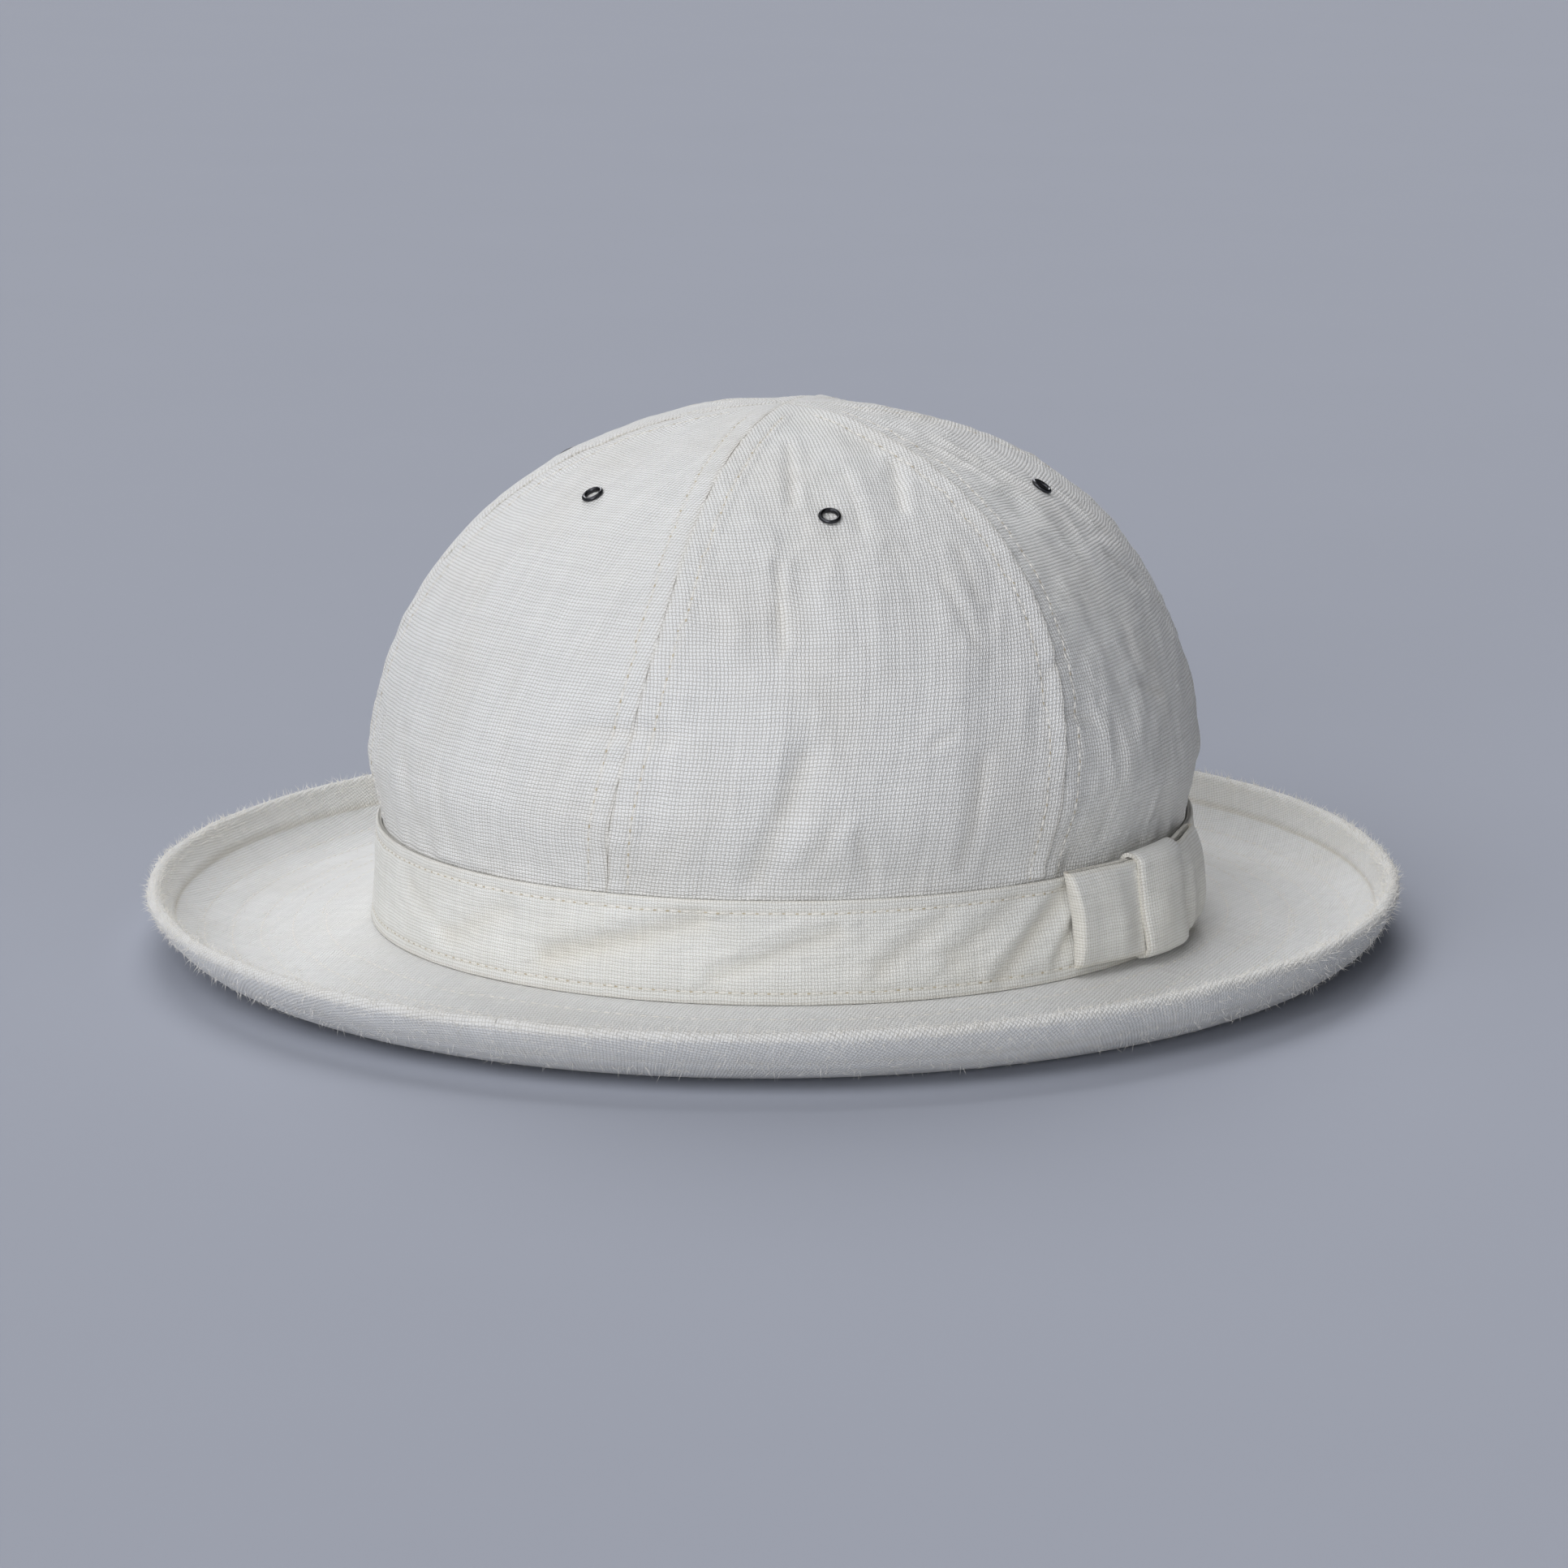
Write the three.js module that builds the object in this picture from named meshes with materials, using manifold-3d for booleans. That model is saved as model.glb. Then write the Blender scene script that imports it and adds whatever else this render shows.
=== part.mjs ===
import * as THREE from "three";
import { mergeVertices } from "three/addons/utils/BufferGeometryUtils.js";
import Module from "manifold-3d";

const wasm = await Module();
wasm.setup();

// A six-panel cloth hat with a flat band, a side bow and a brim turned up all round.
// Lengths are millimetres. Turns are degrees round the plan oval, from the front seam towards the bow.
const pieceGap = 0.3;

// Plan oval, taken at the outside of the band's lower edge, and its place off the brim's middle
const ovalHalfWidth = 90.6;
const ovalHalfLength = 96.6;
const ovalShift = 2.9;

// Crown
const crownWall = 1.4;
const crownTop = 115.9;
const shoulderHeight = 34;
const planRoundness = 2.36;
const riseRoundness = 2.07;
const seamRidge = 0.7;
const tipFullness = 0.012;
const ridgeFadeRadius = 20;
const foldFadeRadius = 30;
const crownTwist = 6;
const twistStart = 20;
const twistEnd = 95;
const apexLift = 2;
const apexLiftRadius = 26;
const crownColumns = 9;
const wallRows = 6;
const domeRows = 12;
const bandTopRise = 0.5;
const shoulderRise = 1;
const tipRise = 2;

// Band
const bandWall = 1.2;
const bandHeight = 21.6;
const bandLean = 1.5;
const bandColumns = 60;
const bandRows = 3;

// Brim
const brimWall = 2.4;
const hemWidth = 7;
const hemExtra = 0.4;
const hemStep = 2;
const restStart = 26;
const restEnd = 29;
const footLedge = crownWall + bandWall + 2 * pieceGap;
const brimColumns = 66;
const fallRows = 5;
const curlRows = 7;

// Side bow
const bowTurn = 82;
const bowLean = 0.11;
const loopReach = 29;
const loopWall = 1;
const loopHollow = 0.5;
const loopAboveBand = 1.2;
const loopAboveFoot = 2.2;
const loopRows = 3;
const loopRoundSteps = 5;
const loopStraightSteps = 5;
const keeperWidth = 18;
const keeperWall = 1;
const keeperRound = 1.5;
const keeperInnerRound = 0.5;
const keeperCornerSteps = 3;
const keeperColumns = 5;

// Vent eyelets
const eyeletBore = 1.4;
const eyeletBarrel = 1.75;
const eyeletFlange = 2.45;
const eyeletFlangeHeight = 0.7;
const eyeletRoll = 0.2;
const eyeletDepth = 2.2;
const eyeletSides = 12;

// Height of the band's lower edge, height of the rim and reach of the brim, by turn
const brimSections = [
  { turn: 0, foot: 7.0, rim: 10.8, reach: 46.4 },
  { turn: 90, foot: 5.8, rim: 11.4, reach: 43.6 },
  { turn: 180, foot: 4.9, rim: 12.2, reach: 46.4 },
  { turn: 270, foot: 5.8, rim: 11.4, reach: 49.4 },
];

// Crown panels: turns of the two seams, and place of the vent eyelet from the middle and up the dome
const panels = [
  { number: 1, seam: -0.5, nextSeam: 61.5, eyeletShift: -2.5, eyeletRise: 1.62 },
  { number: 2, seam: 61.5, nextSeam: 120, eyeletShift: 1.5, eyeletRise: 1.61 },
  { number: 3, seam: 120, nextSeam: 180, eyeletShift: 0, eyeletRise: 1.63 },
  { number: 4, seam: 180, nextSeam: 240, eyeletShift: 0, eyeletRise: 1.63 },
  { number: 5, seam: 240, nextSeam: 300, eyeletShift: -9, eyeletRise: 1.63 },
  { number: 6, seam: 300, nextSeam: 359.5, eyeletShift: -2, eyeletRise: 1.64 },
];

// Main dents and swells of the crown cloth: a positive depth goes inwards
const crownFolds = [
  { turn: 23, height: 86, across: 6, tall: 13, lean: 0, depth: 1.6 },
  { turn: 25, height: 49, across: 6, tall: 14, lean: -34, depth: 1.3 },
  { turn: 3, height: 62, across: 13, tall: 6, lean: 0, depth: 1.2 },
  { turn: 77, height: 52, across: 20, tall: 10, lean: 0, depth: -1.4 },
  { turn: 29, height: 107, across: 5, tall: 9, lean: 0, depth: 0.8 },
  { turn: 55, height: 104, across: 5, tall: 10, lean: 0, depth: 0.8 },
  { turn: 108, height: 98, across: 24, tall: 14, lean: 0, depth: -1.4 },
  { turn: 150, height: 62, across: 12, tall: 14, lean: 15, depth: 1.2 },
  { turn: 214, height: 70, across: 10, tall: 16, lean: -10, depth: 1.2 },
  { turn: 268, height: 52, across: 18, tall: 8, lean: 5, depth: 1.0 },
];

const crownLinen = { color: 0xe9e6df, roughness: 0.95, metalness: 0 };
const bandLinen = { color: 0xe6e3dc, roughness: 0.95, metalness: 0 };
const brimLinen = { color: 0xe3e1db, roughness: 0.95, metalness: 0 };
const gunmetal = { color: 0x3a3a3d, roughness: 0.3, metalness: 1 };

const radians = THREE.MathUtils.degToRad;
const mix = THREE.MathUtils.lerp;
const ease = (share) => THREE.MathUtils.smoothstep(share, 0, 1);

// Value of a brim column at any turn, eased between the sections
function brimValue(column, turn) {
  const step = 360 / brimSections.length;
  const place = THREE.MathUtils.euclideanModulo(turn, 360) / step;
  const before = Math.floor(place) % brimSections.length;
  const after = (before + 1) % brimSections.length;
  const share = (1 - Math.cos(Math.PI * (place - Math.floor(place)))) / 2;
  return mix(brimSections[before][column], brimSections[after][column], share);
}

// Point on the plan oval, shrunk by a fullness and moved outwards by a distance
function ovalPoint(turn, fullness, outwards, height) {
  const across = Math.sin(radians(turn));
  const along = -Math.cos(radians(turn));
  const facing = new THREE.Vector2(across / ovalHalfWidth, along / ovalHalfLength).normalize();
  return new THREE.Vector3(
    ovalShift + ovalHalfWidth * fullness * across + facing.x * outwards,
    ovalHalfLength * fullness * along + facing.y * outwards,
    height,
  );
}

// Depth of all the folds at one place on the crown
function foldDepth(turn, height, radius) {
  let depth = 0;
  for (const fold of crownFolds) {
    const turnAway = THREE.MathUtils.euclideanModulo(turn - fold.turn + 180, 360) - 180;
    const sideways = radians(turnAway) * radius;
    const upwards = height - fold.height;
    const lean = radians(fold.lean);
    const across = (sideways * Math.cos(lean) + upwards * Math.sin(lean)) / fold.across;
    const tall = (upwards * Math.cos(lean) - sideways * Math.sin(lean)) / fold.tall;
    depth += fold.depth * Math.exp(-across * across - tall * tall);
  }
  return depth;
}

// How far a turn lies across the panel that holds it, from 0 at one seam to 1 at the next
function panelShare(turn) {
  const along = THREE.MathUtils.euclideanModulo(turn - panels[0].seam, 360) + panels[0].seam;
  const panel = panels.find((row) => along < row.nextSeam) ?? panels.at(-1);
  return (along - panel.seam) / (panel.nextSeam - panel.seam);
}

// The soft crown has turned a little above its band
function twisted(turn, height) {
  return turn + crownTwist * ease((height - twistStart) / (twistEnd - twistStart));
}

// Upright part of the crown: under the band it leans in, and above the band it swells out to the shoulder
function crownWallSurface(turn, rise) {
  const foot = brimValue("foot", turn) + pieceGap;
  const bandTop = foot + bandHeight;
  const underBand = -(bandWall + pieceGap);
  if (rise < bandTopRise) {
    const share = rise / bandTopRise;
    const height = mix(foot, bandTop, share);
    return ovalPoint(twisted(turn, height), 1, underBand - bandLean * share, height);
  }
  const share = (rise - bandTopRise) / (shoulderRise - bandTopRise);
  const outwards = (underBand - bandLean) * (1 - Math.sin((share * Math.PI) / 2));
  const height = mix(bandTop, shoulderHeight, share);
  return ovalPoint(twisted(turn, height), 1, outwards, height);
}

// Dome of the crown, a rounded oval that peaks at the tip, with seam ridges and folds
function crownDomeSurface(turn, rise) {
  const tipAngle = Math.acos(Math.pow(tipFullness, planRoundness / 2));
  const angle = ((rise - shoulderRise) / (tipRise - shoulderRise)) * tipAngle;
  const fullness = Math.pow(Math.cos(angle), 2 / planRoundness);
  const lift = Math.pow(Math.sin(angle), 2 / riseRoundness);
  const radius = fullness * ovalHalfWidth;
  const peak = apexLift * Math.exp(-((radius / apexLiftRadius) ** 2));
  const height = mix(shoulderHeight, crownTop, lift) + peak;
  const placed = twisted(turn, height);
  const ridge = seamRidge * Math.cos(2 * Math.PI * panelShare(turn)) * ease(2 * lift);
  const inwards = foldDepth(placed, height, radius) * ease(radius / foldFadeRadius);
  const relief = (ridge - inwards) * ease(radius / ridgeFadeRadius);
  return ovalPoint(placed, fullness, relief, height);
}

// Outside of the crown: rise runs from 0 at the foot through 1 at the shoulder to 2 at the tip
function crownSurface(turn, rise) {
  return rise < shoulderRise ? crownWallSurface(turn, rise) : crownDomeSurface(turn, rise);
}

// Outward direction of the crown, measured across a small step
const slopeStep = 0.001;

function crownFacing(turn, rise) {
  const alongTurn = crownSurface(turn + slopeStep, rise).sub(crownSurface(turn - slopeStep, rise));
  const alongRise = crownSurface(turn, rise + slopeStep).sub(crownSurface(turn, rise - slopeStep));
  return alongTurn.cross(alongRise).normalize();
}

// Point of the crown at a depth inside its outer face: under the band the wall stays level at its ends
function crownPoint(turn, rise, depth) {
  const inside = THREE.MathUtils.clamp(rise, 2 * slopeStep, tipRise - 2 * slopeStep);
  const outwards = crownFacing(turn, inside);
  if (rise <= bandTopRise) outwards.setZ(0).normalize();
  return crownSurface(turn, rise).addScaledVector(outwards, -depth);
}

// Faces between rings of points: each ring is one closed loop, and the last ring may join the first
function wallFaces(ringCount, ringSize, joined) {
  const faces = [];
  for (let ring = 0; ring < (joined ? ringCount : ringCount - 1); ring++) {
    const here = ring * ringSize;
    const there = ((ring + 1) % ringCount) * ringSize;
    for (let spot = 0; spot < ringSize; spot++) {
      const after = (spot + 1) % ringSize;
      faces.push(here + spot, here + after, there + after);
      faces.push(here + spot, there + after, there + spot);
    }
  }
  return faces;
}

// Faces that close an end ring, whose second half runs back beside its first half
function endFaces(ring, ringSize, flipped) {
  const faces = [];
  const first = ring * ringSize;
  for (let spot = 0; spot < ringSize / 2 - 1; spot++) {
    const [near, next] = [first + spot, first + spot + 1];
    const [across, acrossNext] = [first + ringSize - 1 - spot, first + ringSize - 2 - spot];
    if (flipped) faces.push(near, acrossNext, next, near, across, acrossNext);
    else faces.push(near, next, acrossNext, near, acrossNext, across);
  }
  return faces;
}

// A solid through a row of rings, closed at its ends or joined into a loop
function ringSolid(rings, joined) {
  const ringSize = rings[0].length;
  const faces = wallFaces(rings.length, ringSize, joined);
  if (!joined) {
    faces.push(...endFaces(0, ringSize, true));
    faces.push(...endFaces(rings.length - 1, ringSize, false));
  }
  const positions = rings.flat().flatMap((point) => point.toArray());
  const geometry = new THREE.BufferGeometry();
  geometry.setAttribute("position", new THREE.Float32BufferAttribute(positions, 3));
  geometry.setIndex(faces);
  return geometry;
}

// A geometry as a solid that can be cut, and back again
function toManifold(geometry) {
  const bare = geometry.clone();
  bare.deleteAttribute("normal");
  bare.deleteAttribute("uv");
  const merged = mergeVertices(bare, 1e-4);
  return new wasm.Manifold(
    new wasm.Mesh({
      numProp: 3,
      vertProperties: new Float32Array(merged.attributes.position.array),
      triVerts: new Uint32Array(merged.index.array),
    }),
  );
}

function toGeometry(solid) {
  const mesh = solid.getMesh();
  const geometry = new THREE.BufferGeometry();
  geometry.setAttribute("position", new THREE.Float32BufferAttribute(mesh.vertProperties, 3));
  geometry.setIndex([...mesh.triVerts]);
  return geometry;
}

const hat = new THREE.Group();

function addPiece(name, geometry, finish) {
  geometry.computeVertexNormals();
  const piece = new THREE.Mesh(geometry, new THREE.MeshStandardMaterial(finish));
  piece.name = name;
  hat.add(piece);
}

// Crown panels, each a wedge of the dome between two seams
function crownRises() {
  const wall = Array.from({ length: wallRows }, (_, row) => (shoulderRise * row) / wallRows);
  const dome = Array.from({ length: domeRows + 1 }, (_, row) => mix(shoulderRise, tipRise, row / domeRows));
  return [...wall, ...dome];
}

function crownPanel({ seam, nextSeam }) {
  const rings = crownRises().map((rise) => {
    const edge = crownSurface(seam, rise);
    const radius = Math.hypot(edge.x - ovalShift, edge.y);
    const seamAllowance = THREE.MathUtils.radToDeg(pieceGap / 2 / radius);
    const outside = [];
    const inside = [];
    for (let column = 0; column <= crownColumns; column++) {
      const turn = mix(seam + seamAllowance, nextSeam - seamAllowance, column / crownColumns);
      outside.push(crownPoint(turn, rise, 0));
      inside.unshift(crownPoint(turn, rise, crownWall));
    }
    return [...outside, ...inside];
  });
  return ringSolid(rings, false);
}

// Eyelet, a bored barrel with a flange that lies on the cloth
function eyeletPlacement({ seam, nextSeam, eyeletShift, eyeletRise }) {
  const turn = (seam + nextSeam) / 2 + eyeletShift;
  const outwards = crownFacing(turn, eyeletRise);
  const upright = new THREE.Quaternion().setFromUnitVectors(new THREE.Vector3(0, 1, 0), outwards);
  const placement = new THREE.Matrix4().makeRotationFromQuaternion(upright);
  return placement.setPosition(crownSurface(turn, eyeletRise));
}

function eyelet(panel) {
  const top = pieceGap + eyeletFlangeHeight;
  const section = [
    [eyeletBore, -eyeletDepth],
    [eyeletBarrel, -eyeletDepth],
    [eyeletBarrel, pieceGap],
    [eyeletFlange, pieceGap],
    [eyeletFlange - eyeletRoll, top - eyeletRoll],
    [(eyeletFlange + eyeletBore) / 2, top],
    [eyeletBore, top - eyeletRoll],
  ];
  const outline = [...section, section[0]].map(([radius, height]) => new THREE.Vector2(radius, height));
  const ring = new THREE.LatheGeometry(outline, eyeletSides);
  return toGeometry(toManifold(ring)).applyMatrix4(eyeletPlacement(panel));
}

function eyeletHole(panel) {
  const radius = eyeletBarrel + pieceGap;
  const length = 4 * crownWall;
  const punch = new THREE.CylinderGeometry(radius, radius, length, eyeletSides);
  return punch.applyMatrix4(eyeletPlacement(panel));
}

for (const panel of panels) {
  const cloth = toManifold(crownPanel(panel)).subtract(toManifold(eyeletHole(panel)));
  addPiece(`crown_panel_${panel.number}`, toGeometry(cloth), crownLinen);
  addPiece(`eyelet_${panel.number}`, eyelet(panel), gunmetal);
}

// Band, a closed strip that leans in with the crown
function bandPoint(turn, share, outwards) {
  const foot = brimValue("foot", turn) + pieceGap;
  return ovalPoint(turn, 1, outwards - bandLean * share, foot + bandHeight * share);
}

const bandRings = Array.from({ length: bandColumns }, (_, column) => {
  const turn = (360 * column) / bandColumns;
  const outside = [];
  const inside = [];
  for (let row = 0; row <= bandRows; row++) {
    const share = row / bandRows;
    outside.push(bandPoint(turn, share, 0));
    inside.unshift(bandPoint(turn, share, -bandWall));
  }
  return [...outside, ...inside].reverse();
});
addPiece("hat_band", ringSolid(bandRings, true), bandLinen);

// Underside of the brim: a ledge under the crown, a fall to the flat rest and a curl up to the rim
function brimSection(turn) {
  const foot = brimValue("foot", turn) - brimWall;
  const curlReach = brimValue("reach", turn) - restEnd;
  const curl = 2 * Math.atan2(brimValue("rim", turn), curlReach);
  const curlRadius = curlReach / Math.sin(curl);
  const places = [
    { out: -footLedge, height: foot, slope: 0, hem: 0 },
    { out: 0, height: foot, slope: 0, hem: 0 },
  ];
  for (let row = 1; row <= fallRows; row++) {
    const share = row / fallRows;
    const height = foot * (1 - ease(share));
    const steepness = (-foot * 6 * share * (1 - share)) / restStart;
    places.push({ out: restStart * share, height, slope: Math.atan(steepness), hem: 0 });
  }
  for (let row = 0; row <= curlRows; row++) {
    const angle = (curl * row) / curlRows;
    const out = restEnd + curlRadius * Math.sin(angle);
    const height = curlRadius * (1 - Math.cos(angle));
    const fromEdge = curlRadius * (curl - angle);
    const hem = ease((hemWidth - fromEdge) / hemStep + 0.5);
    places.push({ out, height, slope: angle, hem });
  }
  return places;
}

const brimRings = Array.from({ length: brimColumns }, (_, column) => {
  const turn = (360 * column) / brimColumns;
  const under = [];
  const upper = [];
  for (const place of brimSection(turn)) {
    const thick = brimWall + hemExtra * place.hem;
    const upperOut = place.out - thick * Math.sin(place.slope);
    const upperHeight = place.height + thick * Math.cos(place.slope);
    under.push(ovalPoint(turn, 1, place.out, place.height));
    upper.unshift(ovalPoint(turn, 1, upperOut, upperHeight));
  }
  return [...under, ...upper].reverse();
});
addPiece("brim", ringSolid(brimRings, true), brimLinen);

// Bow, laid on the band: along runs round the hat from the bow's middle, up from the band's foot
const bowUp = bandHeight / 2;
const turnPerLength = THREE.MathUtils.radToDeg(1 / ovalHalfLength);

function bowPoint(along, out, up) {
  const leaning = along - bowLean * (up - bowUp);
  return bandPoint(bowTurn + leaning * turnPerLength, up / bandHeight, out);
}

const keeperBack = pieceGap;
const loopBack = keeperBack + keeperWall + pieceGap;
const loopThick = 2 * loopWall + loopHollow;
const loopLow = loopAboveFoot;
const loopHigh = bandHeight + loopAboveBand;

// Flat outline of a loop, round at the fold, as pairs of along and out
function loopOutline(inset, side) {
  const half = loopThick / 2 - inset;
  const foldMiddle = loopReach - loopThick / 2;
  const near = pieceGap / 2 + inset;
  const outline = [];
  for (let step = 0; step < loopStraightSteps; step++) {
    outline.push([mix(near, foldMiddle, step / loopStraightSteps), half]);
  }
  for (let step = 0; step <= loopRoundSteps; step++) {
    const angle = Math.PI * (0.5 - step / loopRoundSteps);
    outline.push([foldMiddle + half * Math.cos(angle), half * Math.sin(angle)]);
  }
  for (let step = loopStraightSteps - 1; step >= 0; step--) {
    outline.push([mix(near, foldMiddle, step / loopStraightSteps), -half]);
  }
  return outline.map(([along, out]) => {
    const towardsBand = (loopBack - pieceGap) * ease((along - keeperWidth / 2) / (loopReach / 2));
    return [side * along, loopBack + loopThick / 2 + out - towardsBand];
  });
}

function bowLoop(side) {
  const rings = [];
  const outer = loopOutline(0, side);
  const inner = loopOutline(loopWall, side);
  for (let spot = 0; spot < outer.length; spot++) {
    const outside = [];
    const inside = [];
    for (let row = 0; row <= loopRows; row++) {
      const up = mix(loopLow, loopHigh, row / loopRows);
      outside.push(bowPoint(...outer[spot], up));
      inside.unshift(bowPoint(...inner[spot], up));
    }
    const section = [...outside, ...inside];
    rings.push(side < 0 ? section : section.reverse());
  }
  return ringSolid(rings, true);
}

addPiece("bow_front_loop", bowLoop(-1), bandLinen);
addPiece("bow_back_loop", bowLoop(1), bandLinen);

// Keeper, a strip wrapped over the loops' inner ends
function keeperOutline(inset) {
  const low = loopLow - pieceGap - keeperWall + inset;
  const high = loopHigh + pieceGap + keeperWall - inset;
  const back = keeperBack + inset;
  const front = loopBack + loopThick + pieceGap + keeperWall - inset;
  const round = inset > 0 ? keeperInnerRound : keeperRound;
  const corners = [
    { out: front - round, up: high - round, from: 90 },
    { out: front - round, up: low + round, from: 0 },
    { out: back + round, up: low + round, from: -90 },
    { out: back + round, up: high - round, from: -180 },
  ];
  return corners.flatMap((corner) =>
    Array.from({ length: keeperCornerSteps + 1 }, (_, step) => {
      const angle = radians(corner.from - (90 * step) / keeperCornerSteps);
      return [corner.out + round * Math.cos(angle), corner.up + round * Math.sin(angle)];
    }),
  );
}

const keeperOuter = keeperOutline(0);
const keeperInner = keeperOutline(keeperWall);
const keeperRings = keeperOuter.map((_, spot) => {
  const outside = [];
  const inside = [];
  for (let column = 0; column <= keeperColumns; column++) {
    const along = keeperWidth * (column / keeperColumns - 0.5);
    outside.push(bowPoint(along, ...keeperOuter[spot]));
    inside.unshift(bowPoint(along, ...keeperInner[spot]));
  }
  return [...outside, ...inside].reverse();
});
addPiece("bow_keeper", ringSolid(keeperRings, true), bandLinen);

export default hat;
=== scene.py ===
# %% [markdown]
# # A white linen hat with a turned-up brim
# The hat has six crown panels, a flat band with a side bow, and a stitched brim that turns up all round.
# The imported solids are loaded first, as a fixed frame in metres. Every cloth piece below is then made over
# its own solid, so that it sits exactly where the solid is, and carries the folds, seams, thread and weave.

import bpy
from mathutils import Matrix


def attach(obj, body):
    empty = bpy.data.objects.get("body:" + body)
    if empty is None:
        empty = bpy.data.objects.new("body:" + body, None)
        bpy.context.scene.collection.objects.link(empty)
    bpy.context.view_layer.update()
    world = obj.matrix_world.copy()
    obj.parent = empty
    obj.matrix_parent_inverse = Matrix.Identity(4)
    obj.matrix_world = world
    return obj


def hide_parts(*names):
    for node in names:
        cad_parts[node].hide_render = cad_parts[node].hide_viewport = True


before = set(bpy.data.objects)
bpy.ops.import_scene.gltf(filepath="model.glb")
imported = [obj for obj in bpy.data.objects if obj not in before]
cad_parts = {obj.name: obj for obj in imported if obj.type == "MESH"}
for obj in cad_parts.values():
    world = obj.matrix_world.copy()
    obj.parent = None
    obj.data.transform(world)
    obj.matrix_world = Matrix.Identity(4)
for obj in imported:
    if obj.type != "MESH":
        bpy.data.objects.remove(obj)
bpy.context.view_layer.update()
print("solids loaded:", len(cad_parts))

# %% [markdown]
# The picture was taken with a long lens from a little above the brim. A camera could be placed by eye, but
# here its distance and angle come from fitting the hat's outline, so the same values give the same framing
# at any size. The aim point is not the middle of the picture, so the camera is tipped and turned a little
# instead of shifted.

# %% Camera
import math

import bpy
import numpy as np
from mathutils import Vector, noise

MM = 0.001
PICTURE_SIDE = 1932
FOCAL_PIXELS = 7213.8
SENSOR_WIDTH = 36
AIM = Vector((2.9, 0, 61.8)) * MM
AIM_COLUMN = 968.4
AIM_ROW = 807.5
AZIMUTH = math.radians(23.0)
ELEVATION = math.radians(11.03)
DISTANCE = 1287.5 * MM

half_picture = PICTURE_SIDE / 2
tip_down = math.atan((half_picture - AIM_ROW) / FOCAL_PIXELS)
turn_left = math.atan((AIM_COLUMN - half_picture) / FOCAL_PIXELS)
back = Vector((
    math.sin(AZIMUTH) * math.cos(ELEVATION),
    -math.cos(AZIMUTH) * math.cos(ELEVATION),
    math.sin(ELEVATION),
))
bpy.ops.object.select_all(action="DESELECT")
bpy.ops.object.camera_add(
    location=AIM + back * DISTANCE,
    rotation=(math.pi / 2 - ELEVATION - tip_down, 0, AZIMUTH + turn_left),
)
camera = bpy.context.object
camera.data.sensor_width = SENSOR_WIDTH
camera.data.lens = SENSOR_WIDTH * FOCAL_PIXELS / PICTURE_SIDE
bpy.context.scene.camera = camera
print("lens in mm:", round(camera.data.lens, 1))

# %% [markdown]
# Colours are written as the sRGB values that an eye or a picture gives, and the shader works in linear
# light, so one function turns the first into the second. One more function adds a shader node with its
# settings and links, which keeps every finish below down to a list of nodes.

# %% Colour and node helpers
def linear(hex_colour):
    """An sRGB hex colour as linear red, green, blue and alpha."""
    channels = [int(hex_colour[start:start + 2], 16) / 255 for start in (1, 3, 5)]
    return (*[c / 12.92 if c <= 0.04045 else ((c + 0.055) / 1.055) ** 2.4 for c in channels], 1)


def add_node(material, kind, settings, inputs):
    """Adds a node with its settings; an input is a value, or the output socket of another node."""
    node = material.node_tree.nodes.new(kind)
    for name, value in settings.items():
        setattr(node, name, value)
    for name, value in inputs.items():
        if isinstance(value, bpy.types.NodeSocket):
            material.node_tree.links.new(value, node.inputs[name])
        else:
            node.inputs[name].default_value = value
    return node


def new_material(name, **constants):
    """A material whose shader gets its constant values on the shader's own sockets."""
    material = bpy.data.materials.new(name)
    material.use_nodes = True
    shader = material.node_tree.nodes["Principled BSDF"]
    for socket, value in constants.items():
        shader.inputs[socket.replace("_", " ")].default_value = value
    return material, shader


# %% [markdown]
# The hat stands on a sheet of pale blue-grey paper that runs far behind it, so the paper is also the
# background. A plane is enough for the sheet. Its finish is paper: rough, with a very faint mottle so that
# it isn't one flat colour.

# %% Paper floor
FLOOR_SIDE = 9
FLOOR_DROP = -0.1 * MM
PAPER_MOTTLE = 90 * MM

paper, paper_shader = new_material("backdrop_paper_matt", Roughness=0.95)
paper_place = add_node(paper, "ShaderNodeTexCoord", {}, {})
paper_mottle = add_node(paper, "ShaderNodeTexNoise", {}, {
    "Vector": paper_place.outputs["Object"], "Scale": 1 / PAPER_MOTTLE, "Detail": 3.0,
})
paper_colour = add_node(paper, "ShaderNodeMix", {"data_type": "RGBA"}, {
    "Factor": paper_mottle.outputs["Fac"], 6: linear("#a6aab5"), 7: linear("#a8acb7"),
})
paper.node_tree.links.new(paper_colour.outputs[2], paper_shader.inputs["Base Color"])

bpy.ops.object.select_all(action="DESELECT")
bpy.ops.mesh.primitive_plane_add(size=FLOOR_SIDE, location=(0, 0, FLOOR_DROP))
floor = bpy.context.object
floor.name = "paper_floor"
bpy.ops.object.transform_apply(location=True)
floor.data.materials.append(paper)

# %% [markdown]
# The light is soft and wide. A low light from the front reaches under the turned-up brim, and high lights
# from the left and behind light the crown and the paper, so the right side falls into gentle shade and a
# dark line of shadow lies under the brim. Sun lamps with a very wide disc give such soft shadows and light
# the far paper as brightly as the near, which keeps the background even.

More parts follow.
